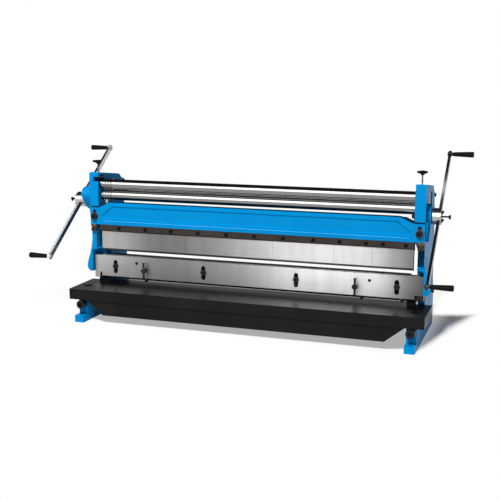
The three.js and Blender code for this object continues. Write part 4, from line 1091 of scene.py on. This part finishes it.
def guide_bolts():
    for side, _ in SIDES:
        node = "beam_guide_bolt_" + side
        centre = middle(node)
        face, back = FRONT - CLEAR * MM, high(node).y
        line = Vector((centre.x, 0, centre.z))
        shape = turned(bmesh.new(), line, Y * -1, rows(-face, GUIDE_WASHER), 64)
        finished("guide_washer_" + side, shape, "root", "dark_steel", look=LOOKS["bronze"])
        profile = rows(face, GUIDE_SHANK) + rows(back, SHANK_END)
        shape = turned(bmesh.new(), line, Y, profile, 40)
        socket_head(shape, line + Y * (face - GUIDE_HEAD_OUT * MM), Y * -1, "guide_bolt", 72)
        fine(node, shape, look=LOOKS["black_steel"])


def slot_shade_sheets():
    """Dark sheets of painted shade in the slots above the guide bolts."""
    for side, _ in SIDES:
        centre = middle("beam_guide_bolt_" + side)
        shape = bmesh.new()
        rings = []
        for depth in GUIDE_SLOT["depths"]:
            ring = []
            for i in range(GUIDE_SLOT["points"]):
                turn = 2 * math.pi * i / GUIDE_SLOT["points"]
                rise = GUIDE_SLOT["up"] if math.sin(turn) > 0 else GUIDE_SLOT["down"]
                ring.append((centre.x + GUIDE_SLOT["half"] * MM * math.cos(turn), FRONT + depth * MM,
                             centre.z + (rise + GUIDE_SLOT["half"] * math.sin(turn)) * MM))
            rings.append(ring)
        loft(shape, rings)
        finished("slot_shade_sheet_" + side, shape, "beam", "black_steel")


def gibs():
    for side, _ in SIDES:
        node = "beam_gib_" + side
        start, end = low(node), high(node)
        wide, depth, tall = end - start
        centre = (start + end) / 2
        strip, foot = GIB["strip"] * MM, GIB["foot"] * MM
        shape = bar(bmesh.new(), Vector((centre.x, centre.y, end.z - strip / 2)), (wide, depth, strip))
        finished("gib_strip_" + side, shape, "beam", "bronze")
        shape = bar(bmesh.new(), Vector((centre.x, centre.y, start.z + foot / 2)), (wide, depth, foot))
        bar(shape, Vector((centre.x, end.y - depth / 4, centre.z)),
            (wide * GIB["width_share"], depth / 2, tall - GIB["gap"] * MM))
        fine(node, shape, look=LOOKS["dark_steel"])


def fine_line(shape, start, direction, length, radius, sizes):
    """A thin round line that tapers at both ends."""
    tip, taper = sizes["tip"] * MM, sizes["taper"] * MM
    turned(shape, start, direction, [
        (0, tip), (taper, radius * MM), (length - taper, radius * MM), (length, tip)], 16)


def beads():
    """Two fine rounded edges along the foot of the beam's sunk panel, in a paler blue that is a painted
    highlight, and a dark line of painted shade along its top.
    """
    shape = bmesh.new()
    for depth, z in PANEL_BEADS:
        fine_line(shape, at(-PANEL_HALF, depth, z), X, 2 * PANEL_HALF * MM, PANEL_BEAD["radius"], PANEL_BEAD)
    finished("panel_highlight_beads", shape, "beam", "blue_paint", look=HIGHLIGHT_BLUE)
    shape = bmesh.new()
    for first, second, radius in BEAM_SHADE_LINES:
        start = at(first[0], BEAM_SHADE_LINE["depth"], first[1])
        way = at(second[0], BEAM_SHADE_LINE["depth"], second[1]) - start
        fine_line(shape, start, way.normalized(), way.length, radius, BEAM_SHADE_LINE)
    finished("beam_top_shade_line", shape, "beam", "blue_paint", look=DARK_SHADE_BLUE)


# Strips that carry painted shade, behind the die bar and in the frames' recesses: middle and lengths in the
# machine's own millimetres

WALL_CAP = {"place": (0, 72.2, 245.5), "size": (1296, 23.4, 14.4), "edge": 0.6}
COLUMN_SHADE_SHEET = {"inner": 672.3, "left": 684.2, "right": 704.2, "depth": 57, "rise": 336.5, "thick": 1.6,
               "height": 102, "edge": 0.3}
BEARING_SLOT_SHADE_SHEET = {"place": (-675.8, 14.2, 580.5), "size": (21.6, 1.4, 20.4), "edge": 0.3}


def strip(name, place, size, edge, slot, look):
    shape = bar(bmesh.new(), at(*place), [length * MM for length in size], width=edge * MM)
    finished(name, shape, "root", slot, look=look)


def strips():
    """The strip behind the die bar, level with its top and with the die's painted shade on top, and dark
    sheets of painted shade at the backs of the frames' recesses and of the bearing slot.
    """
    strip("wall_cap", slot="black_iron", look=DIE, **WALL_CAP)
    for side, sign in SIDES:
        inner, outer = sorted((sign * COLUMN_SHADE_SHEET["inner"], sign * COLUMN_SHADE_SHEET[side]))
        place = ((inner + outer) / 2, COLUMN_SHADE_SHEET["depth"], COLUMN_SHADE_SHEET["rise"])
        size = (outer - inner, COLUMN_SHADE_SHEET["thick"], COLUMN_SHADE_SHEET["height"])
        strip("column_shade_sheet_" + side, place, size, COLUMN_SHADE_SHEET["edge"], "blue_paint", PAINTED_SHADE_BLUE)
    strip("bearing_slot_shade_sheet", slot="blue_paint", look=DARK_SHADE_BLUE, **BEARING_SLOT_SHADE_SHEET)


# Screws and the boss of the frames and the table

BED_SHANK = ((27, 9),)
BED_SHANK_END = ((-1, 9), (0, 8))
BED_HEAD_LENGTH = 28
NOSE_SHANK = ((0, 5), (1, 6))
NOSE_SHANK_END = ((-4.5, 6),)
NOSE_HEAD_BACK = 5
TABLE_SCREW_PLACE = (690, -67, 112)
BOSS = ((-14, 47.3), (-2.5, 47.3), (-1, 46.8), (0, 45.6), (0.4, 44), (0.4, 17))


def bed_bolts():
    for side, _ in SIDES:
        node = "bed_bolt_" + side
        centre = middle(node)
        line = Vector((centre.x, 0, centre.z))
        front, back = low(node).y, high(node).y
        profile = rows(front, BED_SHANK) + rows(back, BED_SHANK_END)
        shape = turned(bmesh.new(), line, Y, profile, 40)
        socket_head(shape, line + Y * (front + BED_HEAD_LENGTH * MM), Y * -1, "bed_bolt", 72)
        fine(node, shape)


def nose_screws():
    for side, sign in SIDES:
        node = "nose_screw_" + side
        centre = middle(node)
        line = Vector((CENTRE_X, centre.y, centre.z))
        start, end = span(node, sign)
        profile = rows(start, NOSE_SHANK) + rows(end, NOSE_SHANK_END)
        shape = turned(bmesh.new(), line, X * sign, profile, 32)
        socket_head(shape, line + X * sign * (end - NOSE_HEAD_BACK * MM), X * sign, "nose_screw")
        fine(node, shape)


def table_screws():
    shape = bmesh.new()
    x, y, z = TABLE_SCREW_PLACE
    for _, sign in SIDES:
        socket_head(shape, at(sign * x, y, z), Z, "table_screw")
    finished("table_screws", shape, "root", "black_steel")


def boss():
    """Smooth face of the round boss on the right frame."""
    start = span("crank_shaft_right", 1)[1] - (HUB["right"] + HUB["edge"]) * MM
    shape = turned(bmesh.new(), CRANK_LINE, X, rows(start, BOSS), 96)
    finished("right_boss", shape, "root", "blue_paint")


# Every piece, and then each node that no piece replaces, with its edges rounded

stage()
roll("lower_roll", True)
roll("upper_roll", True)
roll("rear_roll", False)
cranks()
wing_screws()
gear_case()
die_bolts()
clamp_bolts()
guide_bolts()
slot_shade_sheets()
beads()
strips()
notch_plugs()
bed_bolts()
nose_screws()
table_screws()
tee_screws()
gibs()
boss()

EDGE_WIDTH = 0.6
EDGE_WIDTHS = {"left_frame": 3.0, "right_frame": 3.0, "bed_casting": 1.8, "beam_casting": 1.6,
               "clamp_bar": 0.8, "die_bar": 0.8, "lower_shear_blade": 0.5, "upper_shear_blade": 0.5}
# Boxes cut from the frames: the front of each column stands back beside the fingers, and the left frame has
# a slot beside the upper bearing
CUTS = {
    "left_frame": ((at(-684.5, 6, 285), at(-672, 58, 388)), (at(-687, -3, 570), at(-660, 15, 591))),
    "right_frame": ((at(672, 6, 285), at(704.5, 58, 388)),),
}
NODE_LOOKS = {
    "die_bar": DIE,
    "die_seat_left": SEAT,
    "beam_casting": BEAM_TOP_SHADE_BLUE,
    "upper_bearing_left": LOOKS["dark_steel"],
    "upper_bearing_right": LOOKS["dark_steel"],
    "lower_shear_blade": BLADE,
    "upper_shear_blade": BLADE,
}
REPLACED = {node for piece in bpy.data.objects for node in piece.get("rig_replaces", [])}
for node in sorted(set(NODES) - REPLACED):
    softened(node, EDGE_WIDTHS.get(node, EDGE_WIDTH) * MM, NODE_LOOKS.get(node), CUTS.get(node, ()))
